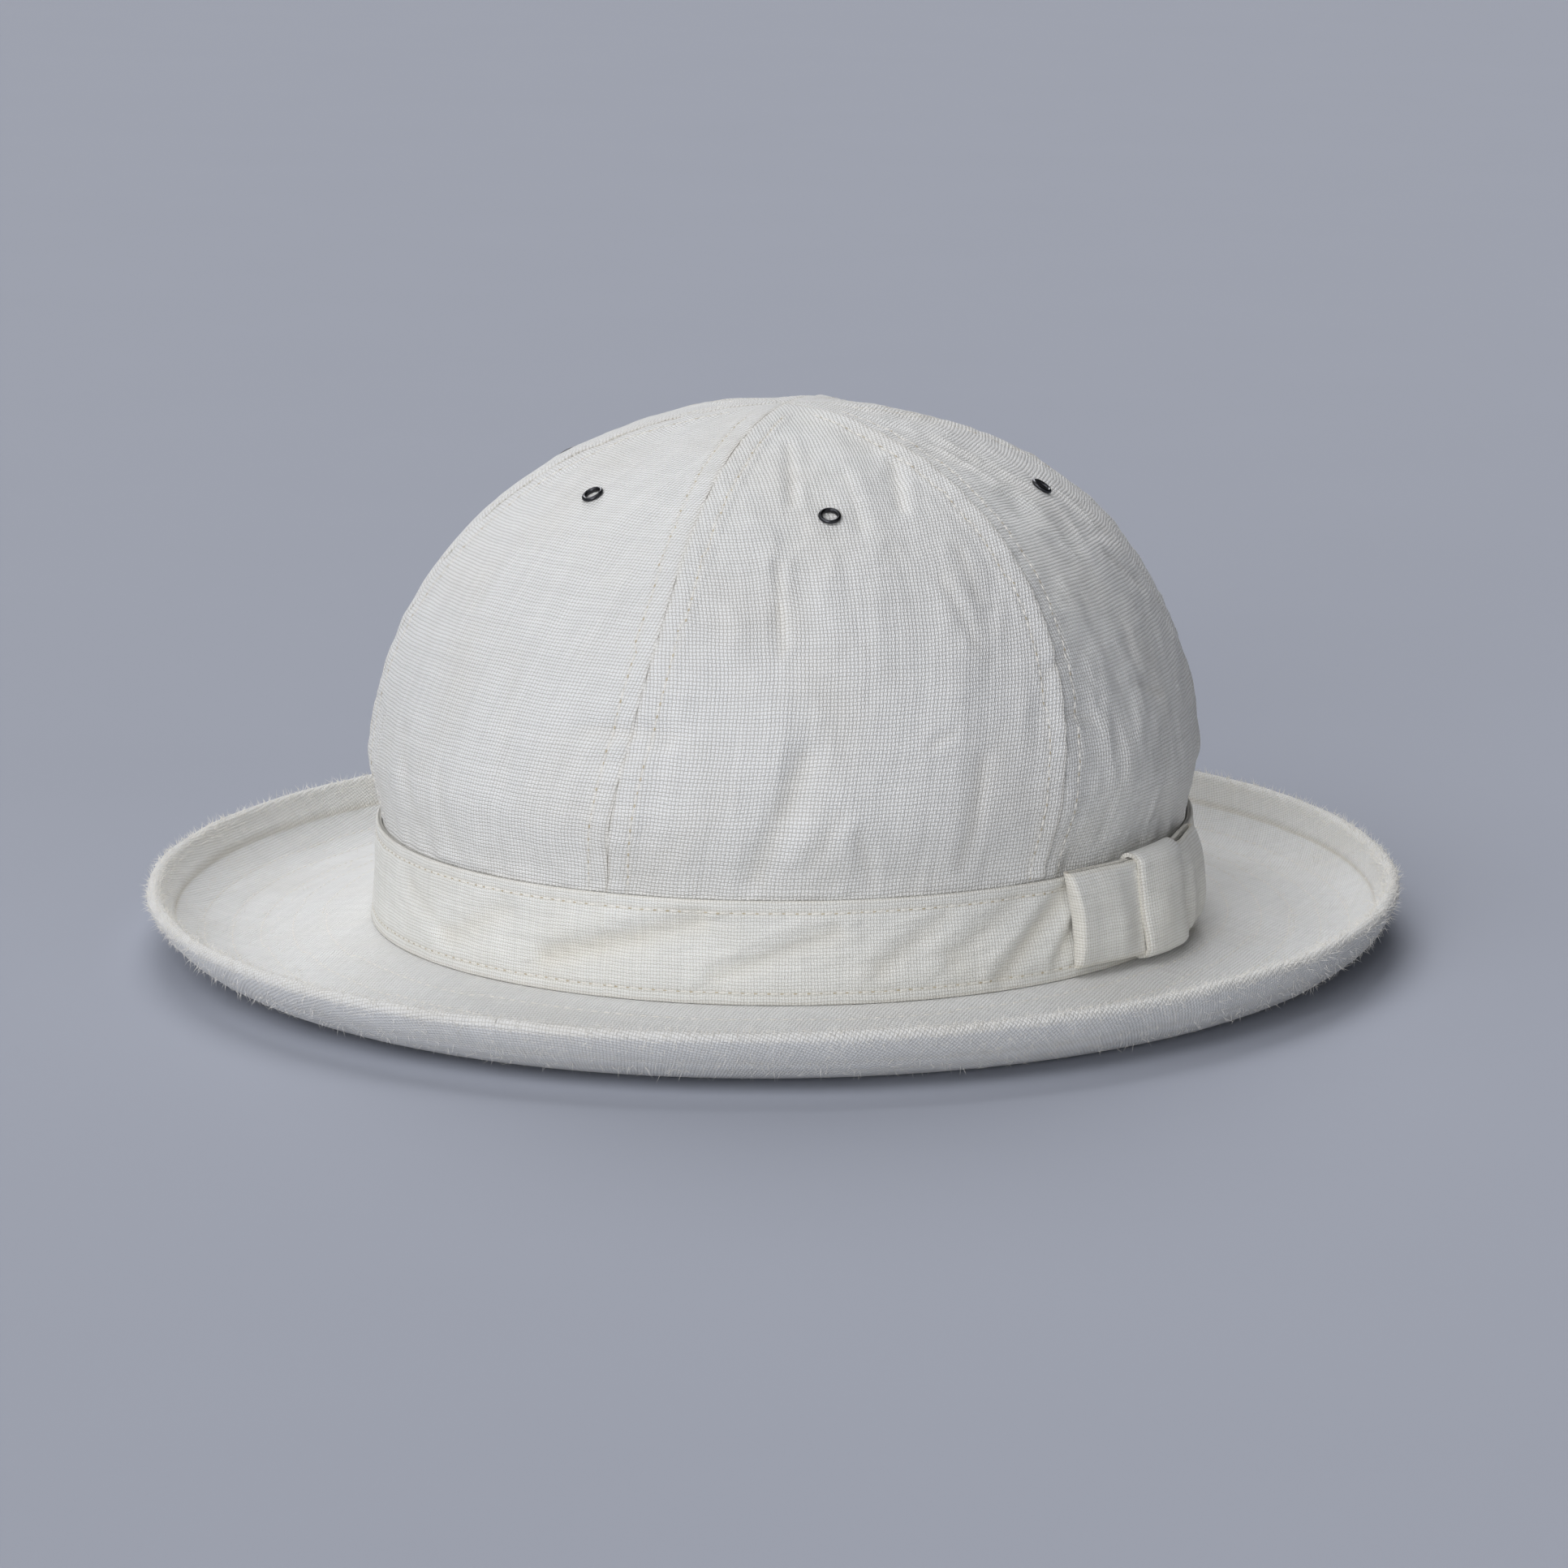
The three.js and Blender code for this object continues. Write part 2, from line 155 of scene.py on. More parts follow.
# %% Studio light
LIGHTS = [
    dict(name="low_front", azimuth=6, elevation=9, disc=30, strength=1.32),
    dict(name="low_right", azimuth=66, elevation=12, disc=40, strength=0.25),
    dict(name="high_front_left", azimuth=-30, elevation=45, disc=45, strength=1.0),
    dict(name="high_left", azimuth=-78, elevation=44, disc=45, strength=0.30),
    dict(name="high_far_left", azimuth=-152, elevation=40, disc=32, strength=1.50),
    dict(name="overhead", azimuth=15, elevation=66, disc=36, strength=0.52),
]
LIGHT_COLOUR = "#f8f9fd"

world = bpy.data.worlds.new("studio_air")
world.use_nodes = True
world.node_tree.nodes["Background"].inputs["Color"].default_value = linear(LIGHT_COLOUR)
world.node_tree.nodes["Background"].inputs["Strength"].default_value = 0.02
bpy.context.scene.world = world
bpy.context.scene.view_settings.view_transform = "Standard"

for row in LIGHTS:
    azimuth = math.radians(row["azimuth"])
    elevation = math.radians(row["elevation"])
    towards = Vector((
        math.sin(azimuth) * math.cos(elevation),
        -math.cos(azimuth) * math.cos(elevation),
        math.sin(elevation),
    ))
    bpy.ops.object.select_all(action="DESELECT")
    bpy.ops.object.light_add(type="SUN", location=AIM + towards)
    lamp = bpy.context.object
    lamp.name = row["name"]
    lamp.rotation_euler = towards.to_track_quat("Z", "Y").to_euler()
    lamp.data.angle = math.radians(row["disc"])
    lamp.data.energy = row["strength"]
    lamp.data.color = linear(LIGHT_COLOUR)[:3]
print("lights:", [row["name"] for row in LIGHTS])

# %% [markdown]
# The cloth is undyed white linen in plain weave. Flax yarns are uneven: they wander, swell into slubs and
# leave small gaps where four yarns meet; the shade in those gaps is painted in as a warm dark colour. An image
# of cloth could be used, but a weave drawn from the cloth's own flat pattern stays sharp and follows each
# panel's grain. Each piece carries that pattern as a UV map in metres, so a yarn is given by its real width.
# A second map on the points marks where the linen is painted creamier: painted shade in creases, folds, seam
# lines, stitch rows and the brim's hem groove, a light painted shade over the hem strip, and a creamier tone
# along some edges.

# %% Linen finish
FLAT_MAP = "flat_cloth"
WEAR_AND_SHADE_MAP = "wear_and_shade"


def linen(name, cloth, gap_shade, cream_shade_and_tone, yarn, relief, fuzz):
    """Plain-weave linen: yarn is the spacing of the threads in mm, relief the depth of the weave in mm."""
    material, shader = new_material(name, Roughness=0.92, Sheen_Weight=fuzz, Sheen_Roughness=0.55)
    flat = add_node(material, "ShaderNodeUVMap", {"uv_map": FLAT_MAP}, {}).outputs["UV"]

    # Yarns wander by a part of their width
    wander = add_node(material, "ShaderNodeTexNoise", {"noise_dimensions": "2D"}, {
        "Vector": flat, "Scale": 1 / (8 * MM), "Detail": 0.0,
    })
    sway = add_node(material, "ShaderNodeVectorMath", {"operation": "MULTIPLY_ADD"}, {
        0: wander.outputs["Color"], 1: (0.7 * yarn * MM,) * 3, 2: flat,
    })
    threads = add_node(material, "ShaderNodeVectorMath", {"operation": "SCALE"}, {
        0: sway.outputs[0], "Scale": math.pi / (yarn * MM),
    })
    split = add_node(material, "ShaderNodeSeparateXYZ", {}, {0: threads.outputs[0]})
    warp = add_node(material, "ShaderNodeMath", {"operation": "SINE"}, {0: split.outputs["X"]})
    weft = add_node(material, "ShaderNodeMath", {"operation": "SINE"}, {0: split.outputs["Y"]})
    crossing = add_node(material, "ShaderNodeMath", {"operation": "MULTIPLY"}, {
        0: warp.outputs[0], 1: weft.outputs[0],
    })
    warp_round = add_node(material, "ShaderNodeMath", {"operation": "ABSOLUTE"}, {0: warp.outputs[0]})
    weft_round = add_node(material, "ShaderNodeMath", {"operation": "ABSOLUTE"}, {0: weft.outputs[0]})
    warp_on_top = add_node(material, "ShaderNodeMapRange", {}, {
        "Value": crossing.outputs[0], "From Min": -0.3, "From Max": 0.3, "To Min": 0.0, "To Max": 1.0,
    })
    pillow = add_node(material, "ShaderNodeMix", {}, {
        "Factor": warp_on_top.outputs[0], 2: weft_round.outputs[0], 3: warp_round.outputs[0],
    })

    # Slubs are long along one yarn and about two yarns wide, in both directions of the cloth
    slubs = []
    for long_way, wide_way in ((2.2 * yarn, 34), (30, 2.0 * yarn)):
        stretch = add_node(material, "ShaderNodeMapping", {}, {
            "Vector": flat, "Scale": (1 / (long_way * MM), 1 / (wide_way * MM), 1),
        })
        slub = add_node(material, "ShaderNodeTexNoise", {"noise_dimensions": "2D"}, {
            "Vector": stretch.outputs[0], "Scale": 1.0, "Detail": 1.0,
        })
        slubs.append(slub.outputs["Fac"])
    slub = add_node(material, "ShaderNodeMath", {"operation": "ADD"}, {0: slubs[0], 1: slubs[1]})

    # Height of the cloth: rounded crossings, lifted where a slub runs
    height = add_node(material, "ShaderNodeMath", {"operation": "MULTIPLY_ADD"}, {
        0: slub.outputs[0], 1: 0.6, 2: pillow.outputs[0],
    })
    bump = add_node(material, "ShaderNodeBump", {}, {
        "Strength": 1.0, "Distance": relief * MM, "Height": height.outputs[0],
    })
    material.node_tree.links.new(bump.outputs[0], shader.inputs["Normal"])

    # Colour: painted shade in the gaps between yarns, slubs, a slow drift, and cream from the map of painted shade and
    # wear
    gap_shade_amount = add_node(material, "ShaderNodeMapRange", {"interpolation_type": "SMOOTHSTEP"}, {
        "Value": pillow.outputs[0], "From Min": 0.1, "From Max": 0.75, "To Min": 0.8, "To Max": 0.0,
    })
    woven = add_node(material, "ShaderNodeMix", {"data_type": "RGBA"}, {
        "Factor": gap_shade_amount.outputs[0], 6: linear(cloth), 7: linear(gap_shade),
    })
    slub_tone = add_node(material, "ShaderNodeMapRange", {}, {
        "Value": slub.outputs[0], "From Min": 0.7, "From Max": 1.3, "To Min": 0.97, "To Max": 1.03,
    })
    toned = add_node(material, "ShaderNodeMix", {"data_type": "RGBA", "blend_type": "MULTIPLY"}, {
        "Factor": 1.0, 6: woven.outputs[2], 7: slub_tone.outputs[0],
    })
    drift = add_node(material, "ShaderNodeTexNoise", {"noise_dimensions": "2D"}, {
        "Vector": flat, "Scale": 1 / (24 * MM), "Detail": 3.0,
    })
    drift_amount = add_node(material, "ShaderNodeMapRange", {}, {
        "Value": drift.outputs["Fac"], "From Min": 0.45, "From Max": 0.75, "To Min": 0.0, "To Max": 0.08,
    })
    wear_and_shade = add_node(material, "ShaderNodeAttribute", {"attribute_name": WEAR_AND_SHADE_MAP}, {})
    wear_shade_and_drift = add_node(material, "ShaderNodeMath", {"operation": "ADD", "use_clamp": True}, {
        0: drift_amount.outputs[0], 1: wear_and_shade.outputs["Fac"],
    })
    colour = add_node(material, "ShaderNodeMix", {"data_type": "RGBA", "blend_type": "MULTIPLY"}, {
        "Factor": wear_shade_and_drift.outputs[0], 6: toned.outputs[2], 7: linear(cream_shade_and_tone),
    })
    material.node_tree.links.new(colour.outputs[2], shader.inputs["Base Color"])
    return material


crown_linen = linen("crown_linen_plain_weave", "#f8f8f6", "#c3bfb5", "#dccdae", 0.80, 0.22, 0.10)
band_linen = linen("band_linen_close_weave", "#f7f7f3", "#cfcbc0", "#dccdae", 0.70, 0.15, 0.10)
brim_linen = linen("brim_linen_brushed", "#f2f2f0", "#cfcdc6", "#e0d3b8", 0.76, 0.19, 0.30)
print("linens:", crown_linen.name, band_linen.name, brim_linen.name)

# %% [markdown]
# All cloth pieces start as a flat grid, like a flat piece of cloth. Its points are then moved to their places
# on the hat, as a sculptor would push them, but by formulas that follow the solids. One helper adds the grid,
# places its points and stores the flat map and the map of painted shade and wear. Where the ends of a grid
# meet, their doubles are merged, which closes the piece.

# %% Flat cloth to shaped cloth
ROOT = "root"


def ease(share):
    """A smooth step from 0 to 1."""
    share = np.clip(share, 0, 1)
    return share * share * (3 - 2 * share)


def rumple(across, along, wide, tall, sheet):
    """Soft uneven waves between -1 and 1 on flat cloth; wide and tall are their sizes in mm."""
    places = np.stack([across / wide, along / tall, np.full_like(across, 5.3 * sheet)], axis=-1)
    waves = [noise.noise(place) for place in places.reshape(-1, 3).tolist()]
    return np.array(waves).reshape(across.shape)


def cloth_grid(name, points, flat, wear_and_shade):
    """A grid primitive whose points go to their places in mm; rows run along the cloth, columns across it."""
    rows, columns = points.shape[0] - 1, points.shape[1] - 1
    bpy.ops.object.select_all(action="DESELECT")
    bpy.ops.mesh.primitive_grid_add(x_subdivisions=columns, y_subdivisions=rows, size=1)
    piece = bpy.context.object
    piece.name = name
    mesh = piece.data
    mesh.vertices.foreach_set("co", (points * MM).ravel())
    corners = np.empty(len(mesh.loops), dtype=int)
    mesh.loops.foreach_get("vertex_index", corners)
    flat_map = mesh.uv_layers.active
    flat_map.name = FLAT_MAP
    flat_map.data.foreach_set("uv", (flat.reshape(-1, 2)[corners] * MM).ravel())
    aged_map = mesh.attributes.new(WEAR_AND_SHADE_MAP, "FLOAT", "POINT")
    aged_map.data.foreach_set("value", wear_and_shade.astype(np.float32).ravel())
    mesh.update()
    return piece


def close_cloth(piece):
    """Merges the ends of the grid that meet, and turns all faces outwards."""
    bpy.ops.object.mode_set(mode="EDIT")
    bpy.ops.mesh.select_all(action="SELECT")
    bpy.ops.mesh.remove_doubles(threshold=0.002 * MM)
    bpy.ops.mesh.normals_make_consistent(inside=False)
    bpy.ops.object.mode_set(mode="OBJECT")


def thicken(piece, wall):
    """Gives a sheet its wall, on the inner side."""
    solidify = piece.modifiers.new("wall", "SOLIDIFY")
    solidify.thickness = wall * MM
    solidify.offset = -1
    bpy.context.view_layer.objects.active = piece
    bpy.ops.object.modifier_apply(modifier=solidify.name)


def settle(piece, material, nodes):
    """Gives a finished piece its finish, its body and the solids that it stands for."""
    piece.data.materials.clear()
    piece.data.materials.append(material)
    bpy.ops.object.select_all(action="DESELECT")
    piece.select_set(True)
    bpy.context.view_layer.objects.active = piece
    bpy.ops.object.shade_smooth_by_angle(angle=math.radians(50))
    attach(piece, ROOT)
    if nodes:
        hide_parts(*nodes)
    print(piece.name, len(piece.data.polygons), "faces")


# %% [markdown]
# A hat is shaped round an oval. These are the sizes of the solids, in millimetres: the oval at the foot of
# the band, the dome, and the brim's foot, rim and reach at four places. A turn is counted in degrees from
# the front seam towards the bow. Repeating the few driving sizes here keeps the cloth on its solids without
# reading another file.

# %% Sizes of the hat
PIECE_GAP = 0.3
OVAL_HALF_WIDTH = 90.6
OVAL_HALF_LENGTH = 96.6
OVAL_SHIFT = 2.9
BRIM_SECTIONS = dict(
    turn=(0, 90, 180, 270),
    foot=(7.0, 5.8, 4.9, 5.8),
    rim=(10.8, 11.4, 12.2, 11.4),
    reach=(46.4, 43.6, 46.4, 49.4),
)


def brim_value(column, turn):
    """A brim size at any turn, eased between the four places."""
    values = np.array(BRIM_SECTIONS[column])
    place = np.mod(turn, 360) / (360 / len(values))
    before = np.floor(place).astype(int) % len(values)
    share = (1 - np.cos(np.pi * (place - np.floor(place)))) / 2
    return values[before] + (values[(before + 1) % len(values)] - values[before]) * share


def oval_point(turn, fullness, outwards, height):
    """A point of the plan oval, shrunk by a fullness and moved outwards by a distance."""
    across = np.sin(np.radians(turn))
    along = -np.cos(np.radians(turn))
    facing = np.stack([across / OVAL_HALF_WIDTH, along / OVAL_HALF_LENGTH])
    facing = facing / np.hypot(*facing)
    x = OVAL_SHIFT + OVAL_HALF_WIDTH * fullness * across + facing[0] * outwards
    y = OVAL_HALF_LENGTH * fullness * along + facing[1] * outwards
    return np.stack(np.broadcast_arrays(x, y, height), axis=-1)


# %% [markdown]
# The crown is a rounded dome that has slumped a little: it has turned above its band, it swells over the
# bow, and it has a few large dents. The dents are soft hollows in a short table, as in the solids.

# %% Shape of the crown
CROWN_WALL = 1.4
CROWN_TOP = 115.9
SHOULDER = 34
PLAN_ROUNDNESS = 2.36
RISE_ROUNDNESS = 2.07
SEAM_RIDGE = 1.1
TIP_FULLNESS = 0.002
CROWN_TWIST = 6
TWIST_START = 20
TWIST_END = 95
APEX_LIFT = 2
APEX_LIFT_RADIUS = 26
BAND_WALL = 1.2
BAND_HEIGHT = 21.6
BAND_LEAN = 1.5
SWELL_HEIGHT = 17
FOLDS = [
    dict(turn=23, height=86, across=6, tall=13, lean=0, depth=1.6),
    dict(turn=25, height=49, across=6, tall=14, lean=-34, depth=1.3),
    dict(turn=3, height=62, across=13, tall=6, lean=0, depth=1.2),
    dict(turn=77, height=52, across=20, tall=10, lean=0, depth=-1.4),
    dict(turn=29, height=107, across=5, tall=9, lean=0, depth=0.8),
    dict(turn=55, height=104, across=5, tall=10, lean=0, depth=0.8),
    dict(turn=108, height=98, across=24, tall=14, lean=0, depth=-1.4),
    dict(turn=150, height=62, across=12, tall=14, lean=15, depth=1.2),
    dict(turn=214, height=70, across=10, tall=16, lean=-10, depth=1.2),
    dict(turn=268, height=52, across=18, tall=8, lean=5, depth=1.0),
]


def fold_depth(turn, height, radius):
    """How far all the folds push the cloth inwards at one place."""
    depth = np.zeros(np.broadcast(turn, height, radius).shape)
    for fold in FOLDS:
        sideways = np.radians(np.mod(turn - fold["turn"] + 180, 360) - 180) * radius
        upwards = height - fold["height"]
        lean = math.radians(fold["lean"])
        across = (sideways * math.cos(lean) + upwards * math.sin(lean)) / fold["across"]
        tall = (upwards * math.cos(lean) - sideways * math.sin(lean)) / fold["tall"]
        depth = depth + fold["depth"] * np.exp(-across * across - tall * tall)
    return depth


def crown_base(turn, rise, share):
    """Outside of the crown: rise is 0 at the foot, 1 at the shoulder, 2 at the tip; share is across a panel."""
    foot = brim_value("foot", turn) + PIECE_GAP
    under_band = np.clip(2 * rise, 0, 1)
    over_band = np.clip(2 * rise - 1, 0, 1)
    angle = np.clip(rise - 1, 0, 1) * np.arccos(TIP_FULLNESS ** (PLAN_ROUNDNESS / 2))
    fullness = np.cos(angle) ** (2 / PLAN_ROUNDNESS)
    lift = np.sin(angle) ** (2 / RISE_ROUNDNESS)
    radius = fullness * OVAL_HALF_WIDTH
    wall = foot + BAND_HEIGHT * under_band + (SHOULDER - foot - BAND_HEIGHT) * over_band
    apex = APEX_LIFT * np.exp(-((radius / APEX_LIFT_RADIUS) ** 2))
    height = wall + (CROWN_TOP - SHOULDER) * lift + apex
    placed = turn + CROWN_TWIST * ease((height - TWIST_START) / (TWIST_END - TWIST_START))
    overhang = ease((height - foot - BAND_HEIGHT) / SWELL_HEIGHT)
    tucked = -(BAND_WALL + PIECE_GAP + BAND_LEAN * under_band) * (1 - overhang)
    ridge = SEAM_RIDGE * (2 * np.abs(1 - 2 * share) ** 1.6 - 1) * ease(2 * lift)
    inwards = fold_depth(placed, height, radius) * ease(radius / 30) * over_band
    return oval_point(placed, fullness, tucked + (ridge - inwards) * ease(radius / 20), height)


def crown_place(turn, height):
    """A point of the dome at a turn and a height, for marking creases."""
    lift = np.clip((height - SHOULDER) / (CROWN_TOP - SHOULDER), 0, 1)
    fullness = np.cos(np.arcsin(lift ** (RISE_ROUNDNESS / 2))) ** (2 / PLAN_ROUNDNESS)
    return oval_point(turn, fullness, 0, height)


# %% [markdown]
# Fine creases are what make cloth look like cloth. The ones on the front and the bow side are placed where
# the photograph shows them, each as a line from one turn and height to another. The other sides get creases
# of the same kind from a seeded random list, so that every run gives the same hat.

# %% Creases of the crown
CREASES = [
    dict(start=(23.0, 95), end=(23.6, 79), width=1.1, depth=0.45),
    dict(start=(23.4, 88), end=(24.4, 80), width=0.7, depth=0.3),
    dict(start=(27.0, 58), end=(20.5, 33), width=2.6, depth=0.55),
    dict(start=(31.5, 47), end=(28.0, 36), width=1.8, depth=0.28),
    dict(start=(51.6, 55), end=(48.5, 34), width=2.0, depth=0.38),
    dict(start=(44.0, 59), end=(48.0, 62), width=1.1, depth=0.28),
    dict(start=(59.0, 110), end=(51.0, 103.5), width=1.7, depth=0.5),
    dict(start=(25.4, 113), end=(25.9, 105), width=1.3, depth=0.38),
    dict(start=(41.0, 109), end=(40.0, 101), width=1.5, depth=0.28),
    dict(start=(29.7, 65), end=(40.6, 65), width=0.6, depth=0.14),
    dict(start=(29.8, 65), end=(29.9, 58), width=0.6, depth=0.1),
    dict(start=(58.0, 95), end=(57.0, 87), width=1.6, depth=0.32),
    dict(start=(52.0, 90), end=(54.0, 78), width=1.6, depth=0.25),
    dict(start=(-4.0, 62), end=(9.0, 62), width=1.8, depth=0.42),
    dict(start=(2.0, 58), end=(8.0, 60), width=1.1, depth=0.25),
    dict(start=(66.0, 62), end=(71.0, 60), width=1.5, depth=0.4),
    dict(start=(64.0, 70), end=(69.0, 73), width=1.3, depth=0.3),
    dict(start=(-41.0, 54), end=(-36.0, 34), width=2.6, depth=0.3),
    dict(start=(-30.0, 48), end=(-27.0, 32), width=2.2, depth=0.28),
    dict(start=(-19.0, 75), end=(-16.5, 50), width=3.0, depth=0.2),
    dict(start=(34.0, 42), end=(36.0, 31), width=1.6, depth=0.3),
    dict(start=(84.0, 64), end=(92.0, 60), width=1.6, depth=0.35),
    dict(start=(98.0, 88), end=(104.0, 80), width=1.8, depth=0.4),
]
FAR_SIDE = (105, 310)
FAR_CREASES = 34
chance = np.random.default_rng(11)
for _ in range(FAR_CREASES):
    turn = chance.uniform(*FAR_SIDE)
    height = chance.uniform(34, 96)
    tall = chance.uniform(8, 20)
    CREASES.append(dict(
        start=(turn, min(height + tall, 112)),
        end=(turn + chance.uniform(-7, 7), height),
        width=chance.uniform(1.0, 2.6),
        depth=chance.uniform(0.2, 0.5),
    ))


def crease_depth(points, normals):
    """Depth of all the creases, by the distance over the cloth from each crease's line."""
    depth = np.zeros(points.shape[:-1])
    for crease in CREASES:
        start = crown_place(*crease["start"])
        line = crown_place(*crease["end"]) - start
        reach = points - start
        share = np.clip(reach @ line / (line @ line), 0, 1)
        away = reach - share[..., None] * line
        sunk = np.sum(away * normals, axis=-1)
        distance = np.sqrt(np.maximum(np.sum(away * away, axis=-1) - sunk * sunk, 0)) / crease["width"]
        near = np.exp(-((sunk / 8) ** 2))
        valley = np.exp(-distance ** 1.6) - 0.4 * np.exp(-((distance - 1.9) ** 2))
        depth = depth + crease["depth"] * valley * near
    return depth


print("creases:", len(CREASES))

# %% [markdown]
# Each crown panel is a wedge of linen. Its edges are sewn to its neighbours, the seam is pressed open and
# stitched down on both sides, so the cloth sinks into the seam line, stands a little higher over the folded
# edges, and dips along each row of stitches. All of this is added along the surface normal. The wall comes
# last, with Solidify.

# %% Crown panels
PANELS = [
    dict(number=1, seam=-0.5, next_seam=61.5, eyelet_shift=-2.5, eyelet_rise=1.62, crumple=1.0, lap=0.7),
    dict(number=2, seam=61.5, next_seam=120, eyelet_shift=1.5, eyelet_rise=1.61, crumple=2.2, lap=0.1),
    dict(number=3, seam=120, next_seam=180, eyelet_shift=0, eyelet_rise=1.63, crumple=1.2, lap=0.1),
    dict(number=4, seam=180, next_seam=240, eyelet_shift=0, eyelet_rise=1.63, crumple=1.2, lap=0.1),
    dict(number=5, seam=240, next_seam=300, eyelet_shift=-9, eyelet_rise=1.63, crumple=1.0, lap=0.1),
    dict(number=6, seam=300, next_seam=359.5, eyelet_shift=-2, eyelet_rise=1.64, crumple=0.8, lap=0),
]
PANEL_COLUMNS = 104
WALL_ROWS = 26
DOME_ROWS = 124
SEAM_GAP = 0.005
SEAM_STITCH = 4.4
STITCH_PITCH = 2.7
EYELET_DIP = 1.7
EYELET_DIP_DEPTH = 0.2


def surface_normals(points):
    """Outward direction at each point of a grid."""
    across = np.gradient(points, axis=1)
    along = np.gradient(points, axis=0)
    normals = np.cross(across, along)
    return normals / np.maximum(np.linalg.norm(normals, axis=-1, keepdims=True), 1e-9)


def run_length(points, axis):
    """Length along the cloth from the first point of each row or column."""
    steps = np.linalg.norm(np.diff(points, axis=axis), axis=-1)
    start = np.zeros_like(np.take(steps, [0], axis=axis))
    return np.cumsum(np.concatenate([start, steps], axis=axis), axis=axis)


def panel_cloth(panel):
    """Places, flat pattern, map of painted shade and wear, and seam distances of one crown panel."""
    wall = np.linspace(0, 1, WALL_ROWS, endpoint=False)
    rise = np.concatenate([wall, np.linspace(1, 2, DOME_ROWS + 1)])[:, None]
    share = np.linspace(0, 1, PANEL_COLUMNS + 1)[None, :]
    turn = panel["seam"] + (panel["next_seam"] - panel["seam"]) * share
    rise, share, turn = np.broadcast_arrays(rise, share, turn)
    base = crown_base(turn, rise, share)
    normals = surface_normals(base)
    from_left = run_length(base, axis=1)
    width = from_left[:, -1:]
    across = from_left - width / 2
    half = PANEL_COLUMNS // 2
    along = np.broadcast_to(run_length(base, axis=0)[:, half:half + 1], rise.shape)
    to_seam = np.minimum(from_left, width - from_left)

    # Seam line, folded edges under the cloth and the row of stitches beside them
    room = ease(width / 24)
    shown = ease((rise - 0.45) / 0.15)
    sewn_row = np.exp(-(((to_seam - SEAM_STITCH) / 0.55) ** 2)) * room
    seam_line = np.exp(-((to_seam / 0.6) ** 2))
    lift = -0.14 * seam_line + 0.3 * (1 - ease((to_seam - 5.0) / 1.8)) * room
    lift = lift - 0.17 * sewn_row
    lift = lift + panel["lap"] * np.exp(-(((width - from_left) / 2.4) ** 2)) * room
    pucker = rumple(to_seam, along, 14, 3.6, panel["number"] + 10)
    lift = lift + 0.36 * pucker * np.exp(-((to_seam / 9) ** 2)) * room

    # Long soft waves up the panel, small crumple, gathers over the band and the named creases
    calm = 0.45 + 0.55 * ease((to_seam - 3) / 10)
    wave = rumple(across, along, 8.5, 34, panel["number"])
    crumple = rumple(across, along, 4.2, 6.5, panel["number"] + 20) + 0.5 * rumple(across, along, 2.4, 3, 40)
    crisp = 0.25 - np.abs(rumple(across, along, 7.5, 13, panel["number"] + 50))
    crisp = crisp * ease(0.5 + 1.6 * rumple(across, along, 22, 26, panel["number"] + 60))
    over_band = np.exp(-np.maximum(rise - 0.6, 0) / 0.22)
    gather = rumple(across, along, 4.5, 60, panel["number"] + 30) * over_band
    crease = crease_depth(base, normals)
    lift = lift + (0.5 * wave + panel["crumple"] * (0.16 * crumple + 0.75 * crisp)) * calm * room
    lift = lift + 0.5 * gather - crease
    points = base + normals * (lift * shown)[..., None]

    # A hair's breadth between neighbours, so that the seam stays a line
    sideways = np.gradient(base, axis=1)
    sideways = sideways / np.maximum(np.linalg.norm(sideways, axis=-1, keepdims=True), 1e-9)
    points[:, 0] += sideways[:, 0] * SEAM_GAP
    points[:, -1] -= sideways[:, -1] * SEAM_GAP

    # Cream along the seam line, the stitch rows and the crease valleys is painted shade in these hollows
    wear_and_shade = 0.16 * seam_line + 0.1 * sewn_row + 0.2 * np.clip(crease, 0, 1)
    flat = np.stack([across, along], axis=-1)
    return points, flat, wear_and_shade, normals


def eyelet_axis(panel):
    """Middle and outward direction of a panel's eyelet."""
    turn = (panel["seam"] + panel["next_seam"]) / 2 + panel["eyelet_shift"]
    share = (turn - panel["seam"]) / (panel["next_seam"] - panel["seam"])
    step = 0.001
    turns = np.array([[turn - step, turn + step], [turn - step, turn + step]])
    rises = panel["eyelet_rise"] + np.array([[-step, -step], [step, step]])
    patch = crown_base(turns, rises, share)
    return patch.mean(axis=(0, 1)), surface_normals(patch)[0, 0]


def dip_behind_eyelet(points, panel):
    """Presses the cloth inside an eyelet's ring a little inwards."""
    middle, outwards = eyelet_axis(panel)
    reach = points - middle
    depth = reach @ outwards
    away = np.linalg.norm(reach - depth[..., None] * outwards, axis=-1)
    near = (np.abs(depth) < 6) * (1 - ease((away - EYELET_DIP + 0.5) / 1.0))
    return points - outwards * (EYELET_DIP_DEPTH * near)[..., None]


crown_grids = {}
for panel in PANELS:
    points, flat, wear_and_shade, normals = panel_cloth(panel)
    crown_grids[panel["number"]] = (points, normals)
    pressed = dip_behind_eyelet(points, panel)
    piece = cloth_grid(f"crown_cloth_{panel['number']}", pressed, flat, wear_and_shade)
    thicken(piece, CROWN_WALL)
    settle(piece, crown_linen, [f"crown_panel_{panel['number']}"])

# %% [markdown]
# The band is a folded strip of finer linen, stitched along both edges and pulled into slanting folds beside
# the bow. It is a closed ring with a rounded section, so its grid runs once round the hat and once round
# the strip's section, and both pairs of ends are merged.

